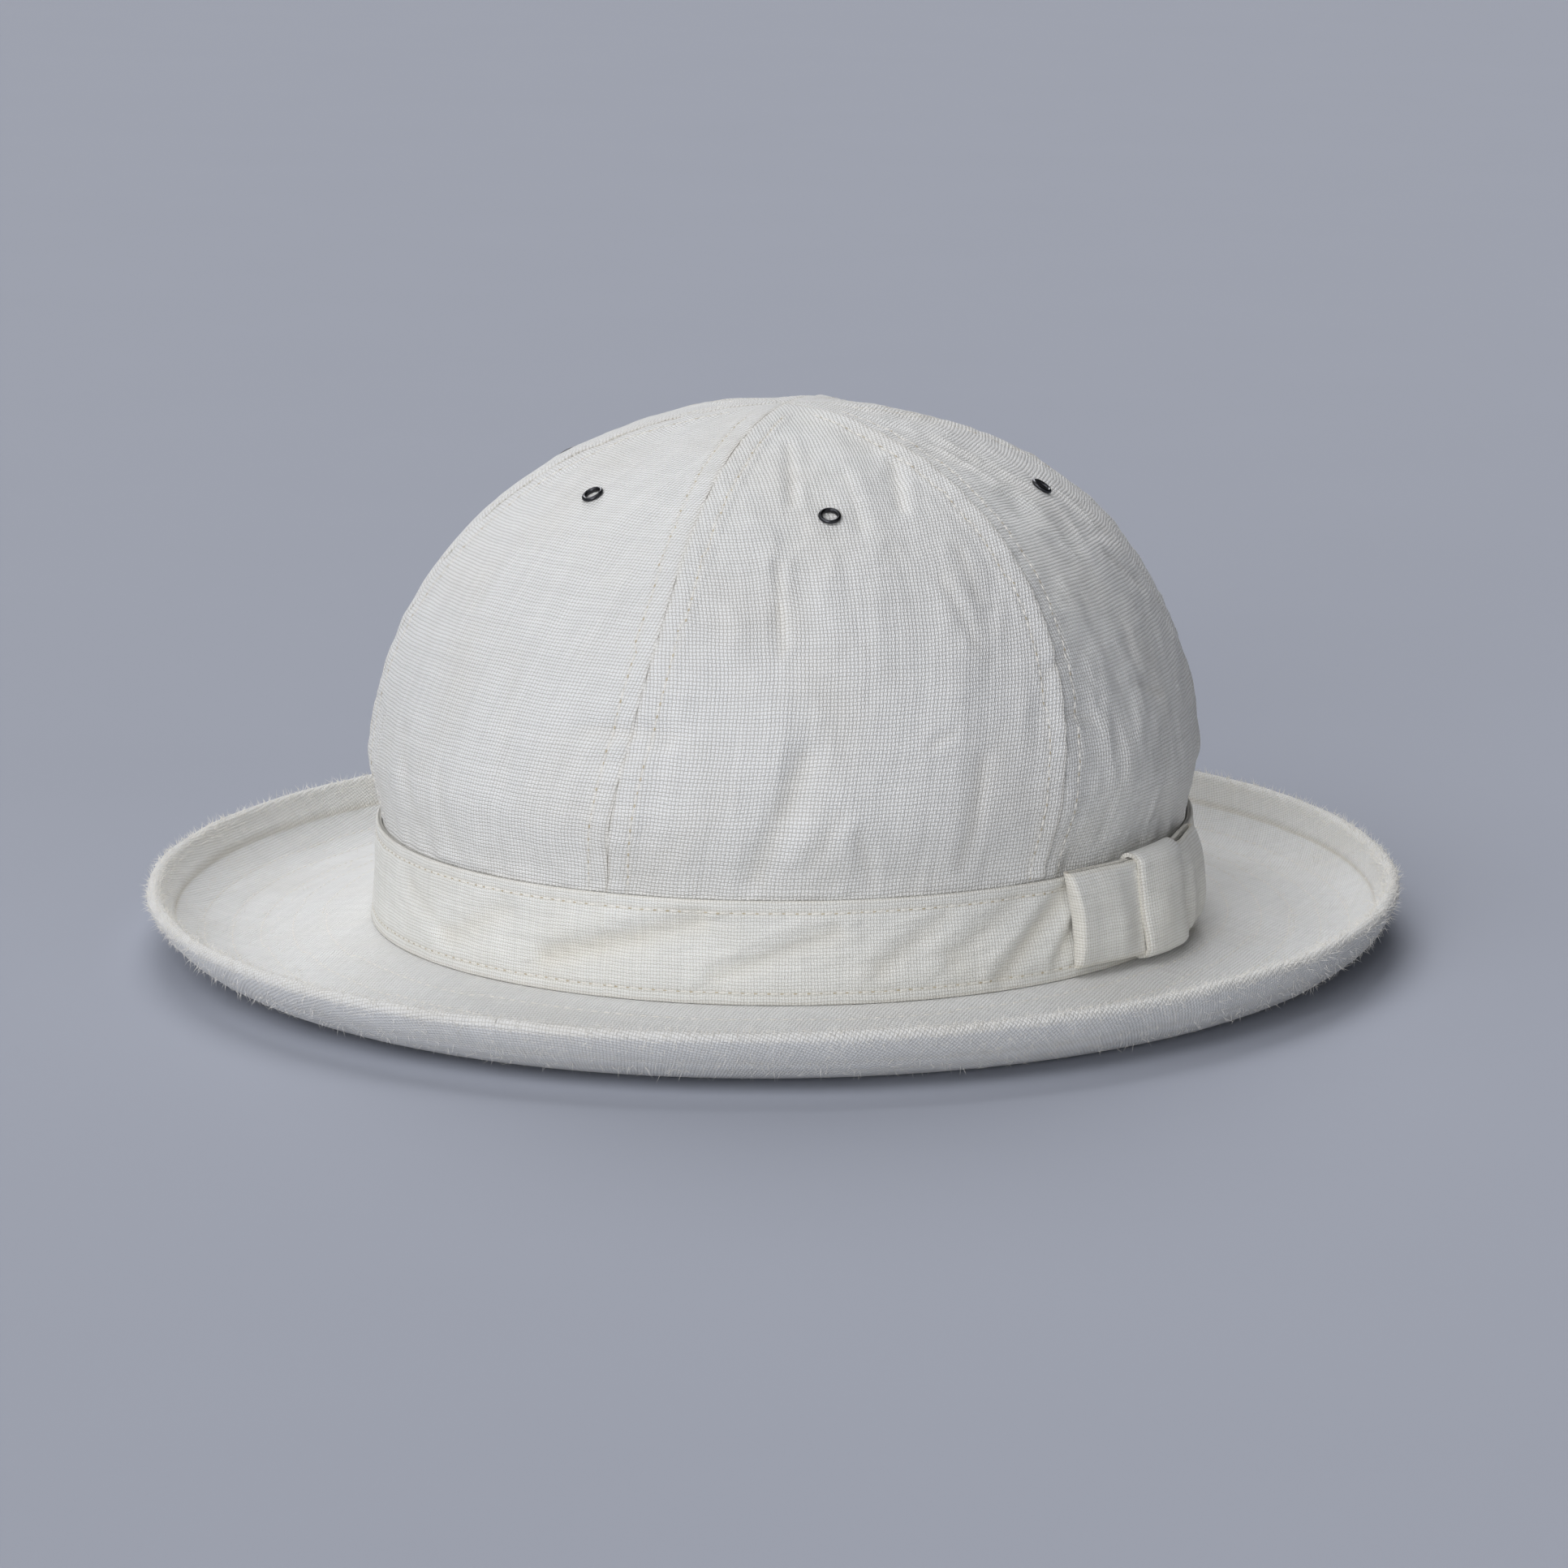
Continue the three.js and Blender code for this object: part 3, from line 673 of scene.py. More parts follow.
# %% Hat band
BAND_COLUMNS = 720
BAND_EDGE = 0.4
BAND_DROP = 0.27
BAND_FACE_STEPS = 46
BAND_BACK_STEPS = 8
BAND_EDGE_STEPS = 6
BAND_TOP_STITCH = 2.5
BAND_FOOT_STITCH = 2.2
BAND_FOLDS = [
    dict(start=(66, 20.5), end=(54, 2.5), width=2.4, depth=1.0),
    dict(start=(69, 15.0), end=(63, 4.0), width=1.8, depth=0.7),
    dict(start=(57, 19.0), end=(47, 8.0), width=2.6, depth=0.45),
    dict(start=(13, 17.0), end=(-9, 6.5), width=2.8, depth=0.95),
    dict(start=(31, 15.0), end=(15, 5.0), width=2.4, depth=0.6),
    dict(start=(46, 17.0), end=(37, 7.0), width=2.4, depth=0.45),
    dict(start=(-16, 15.0), end=(-28, 6.0), width=2.8, depth=0.5),
    dict(start=(102, 19.0), end=(113, 3.0), width=2.4, depth=0.8),
    dict(start=(190, 16.0), end=(205, 7.0), width=2.6, depth=0.5),
    dict(start=(262, 15.0), end=(246, 6.0), width=2.8, depth=0.5),
    dict(start=(322, 14.0), end=(334, 6.0), width=2.4, depth=0.35),
]


def band_point(turn, up, outwards):
    """A point of the band at a turn, a height over the band's foot and a distance off its outer face."""
    foot = brim_value("foot", turn) + PIECE_GAP
    return oval_point(turn, 1, outwards - BAND_LEAN * up / BAND_HEIGHT, foot + up)


def strip_section(height, wall, edge, face_steps, back_steps, edge_steps):
    """Section of a strip as up and out pairs: outer face up, top edge, back face down, lower edge."""
    half = wall / 2
    turns = np.linspace(0, np.pi, edge_steps + 1)[1:-1]
    face = np.stack([np.linspace(edge, height - edge, face_steps), np.zeros(face_steps)], axis=1)
    top = np.stack([height - edge + edge * np.sin(turns), -half + half * np.cos(turns)], axis=1)
    inner = np.stack([np.linspace(height - edge, edge, back_steps), np.full(back_steps, -wall)], axis=1)
    low = np.stack([edge - edge * np.sin(turns), -half - half * np.cos(turns)], axis=1)
    section = np.concatenate([face, top, inner, low])
    return np.concatenate([section, section[:1]])


def band_fold_depth(turn, up):
    """Depth of the band's slanting folds."""
    depth = np.zeros(np.broadcast(turn, up).shape)
    for fold in BAND_FOLDS:
        start = np.array([math.radians(fold["start"][0]) * OVAL_HALF_LENGTH, fold["start"][1]])
        end = np.array([math.radians(fold["end"][0]) * OVAL_HALF_LENGTH, fold["end"][1]])
        middle = (fold["start"][0] + fold["end"][0]) / 2
        unwrapped = middle + np.mod(turn - middle + 180, 360) - 180
        reach = np.stack(np.broadcast_arrays(np.radians(unwrapped) * OVAL_HALF_LENGTH, up), axis=-1) - start
        line = end - start
        share = np.clip(reach @ line / (line @ line), 0, 1)
        away = reach - share[..., None] * line
        distance = np.linalg.norm(away, axis=-1) / fold["width"]
        side = np.sign(away[..., 0] * line[1] - away[..., 1] * line[0])
        valley = np.exp(-distance ** 2) - 0.55 * np.exp(-((distance - 1.7) ** 2) * 1.2) * (side > 0)
        depth = depth + fold["depth"] * valley
    return depth


band_turn = np.linspace(0, 360, BAND_COLUMNS + 1)
band_section = strip_section(
    BAND_HEIGHT, BAND_WALL, BAND_EDGE, BAND_FACE_STEPS, BAND_BACK_STEPS, BAND_EDGE_STEPS
)
band_up = band_section[:, 0][:, None]
band_out = band_section[:, 1][:, None]
band_up = band_up - BAND_DROP * (1 - ease(band_up / 1.2))
turn, up = np.broadcast_arrays(band_turn[None, :], band_up)
around = np.radians(turn) * OVAL_HALF_LENGTH
on_face = np.broadcast_to(ease((band_out + BAND_WALL * 0.7) / (BAND_WALL * 0.4)), turn.shape)
band_rows = np.exp(-(((up - BAND_HEIGHT + BAND_TOP_STITCH) / 0.6) ** 2))
band_rows = band_rows + np.exp(-(((up - BAND_FOOT_STITCH) / 0.6) ** 2))
middle = np.sin(np.pi * np.clip(up / BAND_HEIGHT, 0, 1))
ring = np.stack([np.sin(np.radians(turn)), np.cos(np.radians(turn))]) * OVAL_HALF_LENGTH
band_wave = rumple(ring[0] + up * 0.6, ring[1] - up * 0.4, 13, 13, 51)
band_crumple = rumple(ring[0], ring[1] + 3.1 * up, 4, 4, 52)
band_crease = band_fold_depth(turn, up) * middle ** 0.5
band_lift = (0.6 * band_wave + 0.2 * band_crumple) * middle
band_lift = band_lift - band_crease - 0.2 * band_rows
band_points = band_point(turn, up, band_out + band_lift * on_face)
# Cream along the stitch rows and in the folds is painted shade; the top and foot edges are made creamier too
band_wear_and_shade = 0.12 * band_rows + 0.2 * np.clip(band_crease, 0, 1)
band_wear_and_shade = band_wear_and_shade + 0.14 * np.exp(-((up - BAND_HEIGHT) / 0.7) ** 2)
band_wear_and_shade = band_wear_and_shade + 0.14 * np.exp(-((up / 0.7) ** 2))
band_flat = np.stack([around, up + (1 - on_face) * BAND_HEIGHT], axis=-1)
band = cloth_grid("hat_band_cloth", band_points, band_flat, np.clip(band_wear_and_shade, 0, 1))
close_cloth(band)
settle(band, band_linen, ["hat_band"])

# %% [markdown]
# The brim is two layers of linen stitched together in rings. It falls from the crown to the surface that it
# rests on, and then curls up to a hemmed edge. Its section is walked once round: the underside outwards,
# the rounded rim, and the upper face inwards with its hem, ridge and rings of stitches.

# %% Brim
BRIM_WALL = 2.4
HEM_WIDTH = 6.4
HEM_EXTRA = 0.7
REST_START = 26
REST_END = 29
FOOT_LEDGE = CROWN_WALL + BAND_WALL + 2 * PIECE_GAP
BRIM_COLUMNS = 720
UNDER_STEPS = 44
UPPER_STEPS = 62
RIM_STEPS = 10
BRIM_RINGS = (15, 22, 29, 36, 43)
UNDER_RINGS = (5.6, 9.6, 13.6)
FLAT_RIM = 140
FLAT_ROLL = 4


def brim_underside(turn, walk):
    """The brim's underside: distance out, height, slope and length to the rim; walk is 0 at the foot, 2 at the rim."""
    foot = brim_value("foot", turn) - BRIM_WALL
    curl_reach = brim_value("reach", turn) - REST_END
    curl = 2 * np.arctan2(brim_value("rim", turn), curl_reach)
    radius = curl_reach / np.sin(curl)
    fall = np.clip(walk / 0.9, 0, 1)
    bend = np.clip(walk - 1, 0, 1) * curl
    level = np.clip((walk - 0.9) / 0.1, 0, 1)
    out = -FOOT_LEDGE + (REST_START + FOOT_LEDGE) * fall + (REST_END - REST_START) * level
    out = out + radius * np.sin(bend)
    drop = np.clip(out / REST_START, 0, 1)
    height = foot * (1 - ease(drop)) + radius * (1 - np.cos(bend))
    slope = np.arctan(-foot * 6 * drop * (1 - drop) / REST_START) + bend
    from_rim = radius * (curl - bend) + np.maximum(REST_END - out, 0) * (bend == 0)
    return out, height, slope, from_rim


brim_turn = np.linspace(0, 360, BRIM_COLUMNS + 1)[None, :]
walk_out = np.linspace(0, 2, UNDER_STEPS + 1)[:, None]
walk_in = np.linspace(2, 0, UPPER_STEPS + 1)[:, None]
ring = np.stack([np.sin(np.radians(brim_turn)), np.cos(np.radians(brim_turn))])

# Underside, with shallow rings of stitches near the rim and flat where it rests
out, height, slope, from_rim = brim_underside(brim_turn, walk_out)
turn = np.broadcast_to(brim_turn, out.shape)
size = OVAL_HALF_LENGTH + out
loose = ease((height - 0.6) / 2) * ease((out - 27) / 4)
under_rows = sum(np.exp(-(((from_rim - place) / 0.7) ** 2)) for place in UNDER_RINGS)
under_lift = 0.28 * rumple(ring[0] * size, ring[1] * size, 16, 16, 61) - 0.13 * under_rows
under_lift = under_lift * loose
under = oval_point(turn, 1, out + np.sin(slope) * under_lift, height - np.cos(slope) * under_lift)
under_walk = FLAT_RIM + FLAT_ROLL + from_rim
under_flat = np.stack([ring[0] * under_walk, ring[1] * under_walk], axis=-1)
# Cream along the underside's stitch rings is painted shade in their grooves
under_wear_and_shade = 0.12 * under_rows * loose

# Upper face, with the hem's ridge, the groove beside it and rings of stitches
out, height, slope, from_rim = brim_underside(brim_turn, walk_in)
size = OVAL_HALF_LENGTH + out
hem = ease((HEM_WIDTH - from_rim) / 2.0 + 0.5)
hem_line = np.exp(-(((from_rim - HEM_WIDTH - 0.4) / 0.5) ** 2))
clear = ease((out - 2) / 4)
upper_rows = sum(np.exp(-(((from_rim - place) / 0.75) ** 2)) for place in BRIM_RINGS)
upper_wave = rumple(ring[0] * size, ring[1] * size, 15, 15, 62)
upper_small = rumple(ring[0] * size, ring[1] * size, 3.6, 3.6, 63)
upper_lift = HEM_EXTRA * hem - 0.2 * hem_line - 0.12 * upper_rows * clear
upper_lift = upper_lift + (0.32 * upper_wave + 0.1 * upper_small) * clear
thick = BRIM_WALL + upper_lift
upper = oval_point(turn[:1], 1, out - thick * np.sin(slope), height + thick * np.cos(slope))
upper_walk = FLAT_RIM - from_rim
upper_flat = np.stack([ring[0] * upper_walk, ring[1] * upper_walk], axis=-1)
# Cream on the upper face is painted shade in the hem's groove and the stitch rings, with a light painted shade over
# the steeper hem strip
upper_wear_and_shade = 0.4 * hem_line + 0.06 * upper_rows * clear + 0.1 * hem

# Rounded rim between the two faces
rim_low, rim_high = under[-1], upper[0]
rim_middle = (rim_low + rim_high) / 2
rim_half = np.linalg.norm(rim_high - rim_low, axis=-1, keepdims=True) / 2
_, _, rim_slope, _ = brim_underside(brim_turn[0], np.full(BRIM_COLUMNS + 1, 2.0))
rim_tip = oval_point(brim_turn[0], 1, np.cos(rim_slope), 0) - oval_point(brim_turn[0], 1, 0, 0)
rim_tip[:, 2] = np.sin(rim_slope)
angles = np.linspace(0, np.pi, RIM_STEPS + 1)[1:-1, None, None]
rim = rim_middle - np.cos(angles) * (rim_high - rim_middle) + np.sin(angles) * rim_half * rim_tip
rim_walk = FLAT_RIM + np.linspace(FLAT_ROLL, 0, RIM_STEPS + 1)[1:-1, None]
rim_flat = np.stack([ring[0] * rim_walk, ring[1] * rim_walk], axis=-1)
rim_aged = np.full(rim_flat.shape[:2], 0.1)

brim_points = np.concatenate([under, rim, upper, under[:1]])
brim_flat = np.concatenate([under_flat, rim_flat, upper_flat, upper_flat[-1:] * 0.97])
brim_wear_and_shade = np.concatenate([under_wear_and_shade, rim_aged, upper_wear_and_shade, upper_wear_and_shade[-1:]])
brim = cloth_grid("brim_cloth", brim_points, brim_flat, np.clip(brim_wear_and_shade, 0, 1))
close_cloth(brim)
settle(brim, brim_linen, ["brim"])

# %% [markdown]
# The bow is a folded strip: two flat loops that lie on the band, and a keeper strip wrapped over their
# inner ends. Each is a closed outline, swept across the strip's width. The strips are pressed but soft, so
# the loops' folds are round, their faces sink a little towards the keeper and their edges curl.

# %% Side bow
BOW_TURN = 82
BOW_LEAN = 0.11
LOOP_REACH = 29
LOOP_WALL = 1
LOOP_HOLLOW = 0.5
LOOP_LOW = 2.2
LOOP_HIGH = BAND_HEIGHT + 1.2
KEEPER_WIDTH = 18
KEEPER_WALL = 1
KEEPER_BACK = PIECE_GAP
LOOP_BACK = KEEPER_BACK + KEEPER_WALL + PIECE_GAP
LOOP_THICK = 2 * LOOP_WALL + LOOP_HOLLOW
STRIP_STEPS = 44


def bow_point(along, out, up):
    """A point of the bow: along runs round the hat from the bow's middle, up from the band's foot."""
    leaning = along - BOW_LEAN * (up - BAND_HEIGHT / 2)
    return band_point(BOW_TURN + np.degrees(leaning / OVAL_HALF_LENGTH), up, out)


def bow_loop(name, side, sheet):
    """One flat loop, round at its fold, that comes to lie on the band away from the keeper."""
    half = LOOP_THICK / 2
    fold_middle = LOOP_REACH - half
    straight = np.linspace(PIECE_GAP / 2, fold_middle, 40)
    turns = np.linspace(np.pi / 2, -np.pi / 2, 15)[1:-1]
    along = np.concatenate([straight, fold_middle + half * np.cos(turns), straight[::-1], straight[:1]])
    off = np.concatenate([np.full(40, half), half * np.sin(turns), np.full(40, -half), [half]])
    share = np.linspace(0, 1, STRIP_STEPS + 1)[None, :]
    along, off, share = np.broadcast_arrays(along[:, None], off[:, None], share)
    up = LOOP_LOW + (LOOP_HIGH - LOOP_LOW) * share
    towards_band = (LOOP_BACK - PIECE_GAP) * ease((along - KEEPER_WIDTH / 2) / (LOOP_REACH / 2))
    free = ease((along - KEEPER_WIDTH / 2) / 8)
    outer = ease(off / half * 0.5 + 0.5)
    puff = (1.5 * np.sin(np.pi * share) ** 0.6 + 0.5 * rumple(along, up, 9, 9, sheet)) * free * outer
    edge = -0.5 * (np.abs(2 * share - 1) ** 6) * outer * free
    slack = 0.8 * np.sin(np.pi * share) * free * ease((along - fold_middle + 6) / 6)
    out = LOOP_BACK + half + off - towards_band + puff + edge
    points = bow_point(side * (along - slack), out, up)
    walked = run_length(points, axis=0)
    flat = np.stack([up, walked], axis=-1)
    rim = np.minimum(share, 1 - share) * (LOOP_HIGH - LOOP_LOW)
    wear_and_shade = 0.2 * np.exp(-((rim / 0.7) ** 2)) + 0.2 * np.exp(-(((along - fold_middle - half) / 1.0) ** 2))
    piece = cloth_grid(name, points if side < 0 else points[::-1], flat if side < 0 else flat[::-1], wear_and_shade)
    close_cloth(piece)
    thicken(piece, LOOP_WALL * 0.9)
    return piece


def round_box(low, high, back_out, front_out, corner, steps):
    """Outline of a box with round corners, as out and up pairs, from the top of its front face downwards."""
    outline = []
    middles = [
        (front_out - corner, high - corner, 90),
        (front_out - corner, low + corner, 0),
        (back_out + corner, low + corner, -90),
        (back_out + corner, high - corner, -180),
    ]
    for out, up, start in middles:
        for angle in np.radians(np.linspace(start, start - 90, steps + 1)):
            outline.append((out + corner * math.cos(angle), up + corner * math.sin(angle)))
    outline.append(outline[0])
    return np.array(outline)


def even_outline(outline, count):
    """The same closed outline with points at even spacing."""
    walked = np.concatenate([[0], np.cumsum(np.linalg.norm(np.diff(outline, axis=0), axis=1))])
    places = np.linspace(0, walked[-1], count + 1)
    return np.stack([np.interp(places, walked, outline[:, column]) for column in (0, 1)], axis=1)


def bow_keeper():
    """The strip wrapped over the loops' ends, with soft edges and a hollow down its middle."""
    front = LOOP_BACK + LOOP_THICK + PIECE_GAP + KEEPER_WALL
    low = LOOP_LOW - PIECE_GAP - KEEPER_WALL
    high = LOOP_HIGH + PIECE_GAP + KEEPER_WALL
    outline = even_outline(round_box(low, high, KEEPER_BACK, front, 2.4, 8), 110)
    share = np.linspace(0, 1, STRIP_STEPS + 1)[None, :]
    out, up, share = np.broadcast_arrays(outline[:, :1], outline[:, 1:], share)
    along = KEEPER_WIDTH * (share - 0.5)
    facing = ease((out - KEEPER_BACK - 1.5) / 2)
    edge = np.minimum(share, 1 - share) * KEEPER_WIDTH
    swell = 1.1 * np.sin(np.pi * share) ** 0.7 - 0.5 * np.exp(-((edge / 0.7) ** 2))
    swell = swell + 0.7 * rumple(along, up, 8, 11, 71)
    points = bow_point(along, out + swell * facing, up)
    flat = np.stack([along, run_length(points, axis=0)], axis=-1)
    wear_and_shade = 0.22 * np.exp(-((edge / 0.7) ** 2)) * np.ones_like(up)
    piece = cloth_grid("bow_keeper_cloth", points, flat, wear_and_shade)
    close_cloth(piece)
    thicken(piece, KEEPER_WALL * 0.9)
    return piece


settle(bow_loop("bow_front_loop_cloth", -1, 72), band_linen, ["bow_front_loop"])
settle(bow_loop("bow_back_loop_cloth", 1, 73), band_linen, ["bow_back_loop"])
settle(bow_keeper(), band_linen, ["bow_keeper"])

# %% [markdown]
# The vent eyelets are small brass rings with a dark gunmetal plating, rolled over at the rim. A torus is
# already a ring; its section is pressed into a flat flange with a barrel, and each copy is set on its panel
# along the cloth's own direction. Plating is smooth and dark, with small scuffs that change its tone and
# its gloss.

# %% Gunmetal eyelets
EYELET_BORE = 1.5
EYELET_FLANGE = 2.45
EYELET_SIDES = 40
EYELET_SECTION = 16
PLATING_SCUFF = 0.6 * MM

gunmetal, gunmetal_shader = new_material("gunmetal_plated_brass", Metallic=1.0)
metal_place = add_node(gunmetal, "ShaderNodeTexCoord", {}, {})
scuff = add_node(gunmetal, "ShaderNodeTexNoise", {}, {
    "Vector": metal_place.outputs["Object"], "Scale": 1 / PLATING_SCUFF, "Detail": 3.0,
})
metal_colour = add_node(gunmetal, "ShaderNodeMix", {"data_type": "RGBA"}, {
    "Factor": scuff.outputs["Fac"], 6: linear("#2b2c30"), 7: linear("#5a5a5c"),
})
metal_rough = add_node(gunmetal, "ShaderNodeMapRange", {}, {
    "Value": scuff.outputs["Fac"], "To Min": 0.22, "To Max": 0.42,
})
gunmetal.node_tree.links.new(metal_colour.outputs[2], gunmetal_shader.inputs["Base Color"])
gunmetal.node_tree.links.new(metal_rough.outputs[0], gunmetal_shader.inputs["Roughness"])


def eyelet_ring(panel):
    """A rolled ring with a short barrel, set on the cloth."""
    middle, outwards = eyelet_axis(panel)
    bpy.ops.object.select_all(action="DESELECT")
    bpy.ops.mesh.primitive_torus_add(
        major_segments=EYELET_SIDES,
        minor_segments=EYELET_SECTION,
        major_radius=(EYELET_BORE + EYELET_FLANGE) / 2 * MM,
        minor_radius=(EYELET_FLANGE - EYELET_BORE) / 2 * MM,
    )
    ring = bpy.context.object
    ring.name = f"eyelet_ring_{panel['number']}"
    places = np.empty(len(ring.data.vertices) * 3)
    ring.data.vertices.foreach_get("co", places)
    places = places.reshape(-1, 3) / MM
    radius = np.hypot(places[:, 0], places[:, 1])
    inner = ease((EYELET_FLANGE - radius) / (EYELET_FLANGE - EYELET_BORE))
    places[:, 2] = np.where(places[:, 2] > 0, places[:, 2] * 1.15, places[:, 2] * (0.4 + 1.2 * inner)) + 0.3
    turned = Vector(outwards).to_track_quat("Z", "Y").to_matrix()
    places = places @ np.array(turned).T + middle
    ring.data.vertices.foreach_set("co", (places * MM).ravel())
    ring.data.update()
    return ring


for panel in PANELS:
    settle(eyelet_ring(panel), gunmetal, [f"eyelet_{panel['number']}"])

# %% [markdown]
# The hat is sewn with white cotton thread. One stitch is a short arched piece of thread whose ends go down
# into the cloth. It is modelled once, from a cylinder that is cut into rings and bent, and then copied
# along every sewn line into one joined mesh for the crown, the band and the brim.

# %% One stitch
THREAD = 0.3
STITCH_LENGTH = 1.9
STITCH_SINK = 0.35
STITCH_SIDES = 6
STITCH_CUTS = 4

thread, thread_shader = new_material("cotton_thread_spun", Roughness=0.85, Sheen_Weight=0.2)
thread_place = add_node(thread, "ShaderNodeTexCoord", {}, {})
thread_grain = add_node(thread, "ShaderNodeTexNoise", {}, {
    "Vector": thread_place.outputs["Object"], "Scale": 1 / (0.5 * MM), "Detail": 2.0,
})
thread_colour = add_node(thread, "ShaderNodeMix", {"data_type": "RGBA"}, {
    "Factor": thread_grain.outputs["Fac"], 6: linear("#ece7dc"), 7: linear("#f7f5ef"),
})
thread_bump = add_node(thread, "ShaderNodeBump", {}, {
    "Strength": 0.6, "Distance": 0.05 * MM, "Height": thread_grain.outputs["Fac"],
})
thread.node_tree.links.new(thread_colour.outputs[2], thread_shader.inputs["Base Color"])
thread.node_tree.links.new(thread_bump.outputs[0], thread_shader.inputs["Normal"])

bpy.ops.object.select_all(action="DESELECT")
bpy.ops.mesh.primitive_cylinder_add(
    vertices=STITCH_SIDES, radius=THREAD / 2, depth=STITCH_LENGTH, rotation=(0, math.pi / 2, 0)
)
stitch = bpy.context.object
bpy.ops.object.transform_apply(rotation=True)
for cut in np.linspace(-0.5, 0.5, STITCH_CUTS + 2)[1:-1]:
    bpy.ops.object.mode_set(mode="EDIT")
    bpy.ops.mesh.select_all(action="SELECT")
    bpy.ops.mesh.bisect(plane_co=(cut * STITCH_LENGTH, 0, 0), plane_no=(1, 0, 0))
    bpy.ops.object.mode_set(mode="OBJECT")
bpy.ops.object.mode_set(mode="EDIT")
bpy.ops.mesh.select_all(action="SELECT")
bpy.ops.mesh.quads_convert_to_tris()
bpy.ops.object.mode_set(mode="OBJECT")
stitch_points = np.array([vertex.co for vertex in stitch.data.vertices])
bent = (2 * stitch_points[:, 0] / STITCH_LENGTH) ** 2
stitch_points[:, 2] -= STITCH_SINK * bent ** 1.5
stitch_faces = np.array([face.vertices for face in stitch.data.polygons])
bpy.data.objects.remove(stitch)
print("one stitch:", len(stitch_faces), "faces")

# %% [markdown]
# A row of stitches follows a line on the cloth at even steps. For each stitch the line gives its place, its
# direction and the cloth's outward direction, and together they turn the one stitch into its place. Between
# two stitches the thread goes down through a needle hole. The shade in that hole is painted as a small tan
# dot: a low bead in a darker tan colour sits there.

# %% Rows of stitches
STITCH_LIFT = 0.02
HOLE_HALF_LENGTH = 0.45
HOLE_HALF_WIDTH = 0.22
HOLE_HEIGHT = 0.07

# Painted shade of the needle holes: a tan colour on small beads between the stitches
needle_hole_shade, needle_hole_shade_shader = new_material("painted_needle_hole_shade", Roughness=0.95)
needle_hole_shade_place = add_node(needle_hole_shade, "ShaderNodeTexCoord", {}, {})
needle_hole_shade_grain = add_node(needle_hole_shade, "ShaderNodeTexNoise", {}, {
    "Vector": needle_hole_shade_place.outputs["Object"], "Scale": 1 / (1.3 * MM), "Detail": 2.0,
})
needle_hole_shade_colour = add_node(needle_hole_shade, "ShaderNodeMix", {"data_type": "RGBA"}, {
    "Factor": needle_hole_shade_grain.outputs["Fac"], 6: linear("#a99a7a"), 7: linear("#e6dcc8"),
})
needle_hole_shade.node_tree.links.new(needle_hole_shade_colour.outputs[2], needle_hole_shade_shader.inputs["Base Color"])

hole_turns = np.radians(np.arange(0, 360, 60))
hole_along = HOLE_HALF_LENGTH * np.cos(hole_turns)
hole_across = HOLE_HALF_WIDTH * np.sin(hole_turns)
hole_ring = np.stack([hole_along, hole_across, 0 * hole_turns], axis=1)
hole_points = np.concatenate([hole_ring, [[0, 0, HOLE_HEIGHT], [0, 0, -4 * HOLE_HEIGHT]]])
hole_faces = np.array([(n, (n + 1) % 6, 6) for n in range(6)] + [((n + 1) % 6, n, 7) for n in range(6)])
stitch_chance = np.random.default_rng(5)


def stitch_row(line, outwards):
    """Points of all stitches along a line, and of a needle hole before each of them."""
    walked = np.concatenate([[0], np.cumsum(np.linalg.norm(np.diff(line, axis=0), axis=1))])
    starts = np.arange(STITCH_PITCH / 2, walked[-1] - STITCH_PITCH / 2, STITCH_PITCH)
    made, holes = [], []
    for start in starts + stitch_chance.uniform(-0.12, 0.12, len(starts)):
        at = [np.interp(start, walked, line[:, axis]) for axis in range(3)]
        ahead = [np.interp(start + 0.8, walked, line[:, axis]) for axis in range(3)]
        behind = [np.interp(start - 0.8, walked, line[:, axis]) for axis in range(3)]
        up = np.array([np.interp(start, walked, outwards[:, axis]) for axis in range(3)])
        forward = np.subtract(ahead, behind)
        forward = forward / np.linalg.norm(forward)
        side = np.cross(up, forward)
        side = side / np.linalg.norm(side)
        up = np.cross(forward, side)
        turned = np.stack([forward, side, up])
        made.append(stitch_points @ turned + at + up * STITCH_LIFT)
        holes.append((hole_points - [STITCH_PITCH / 2, 0, 0]) @ turned + at)
    return made, holes


def join_copies(name, copies, faces, material):
    """Joins all copies of one small thing into one mesh."""
    count = len(copies[0])
    all_faces = np.concatenate([faces + count * number for number in range(len(copies))])
    mesh = bpy.data.meshes.new(name)
    mesh.from_pydata((np.concatenate(copies) * MM).tolist(), [], all_faces.tolist())
    piece = bpy.data.objects.new(name, mesh)
    bpy.context.collection.objects.link(piece)
    settle(piece, material, [])


# %% [markdown]
# The crown is sewn along both sides of each seam, the band along both edges and the brim in rings. Each
# line is read from the grid of its piece, so that the thread lies on the folded cloth and not on a smooth
# copy of it.

# %% Crown, band and brim stitches
def grid_line(points, normals, distance, from_end):
    """A line up a panel at a distance from one of its seams."""
    lengths = run_length(points, axis=1)
    if from_end:
        lengths = lengths[:, -1:] - lengths
    line, outwards = [], []
    for row in range(int(WALL_ROWS * 0.6), len(points)):
        if lengths[row].max() < 3 * distance:
            break
        column = np.abs(lengths[row] - distance).argmin()
        line.append(points[row, column])
        outwards.append(normals[row, column])
    return np.array(line), np.array(outwards)


def sew(name, lines, holes_shown):
    """Sews along all lines of one piece."""
    stitches, holes = [], []
    for line, outwards in lines:
        row, row_holes = stitch_row(line, outwards)
        stitches += row
        holes += row_holes
    join_copies(f"{name}_stitches", stitches, stitch_faces, thread)
    if holes_shown:
        join_copies(f"{name}_needle_hole_shade", holes, hole_faces, needle_hole_shade)


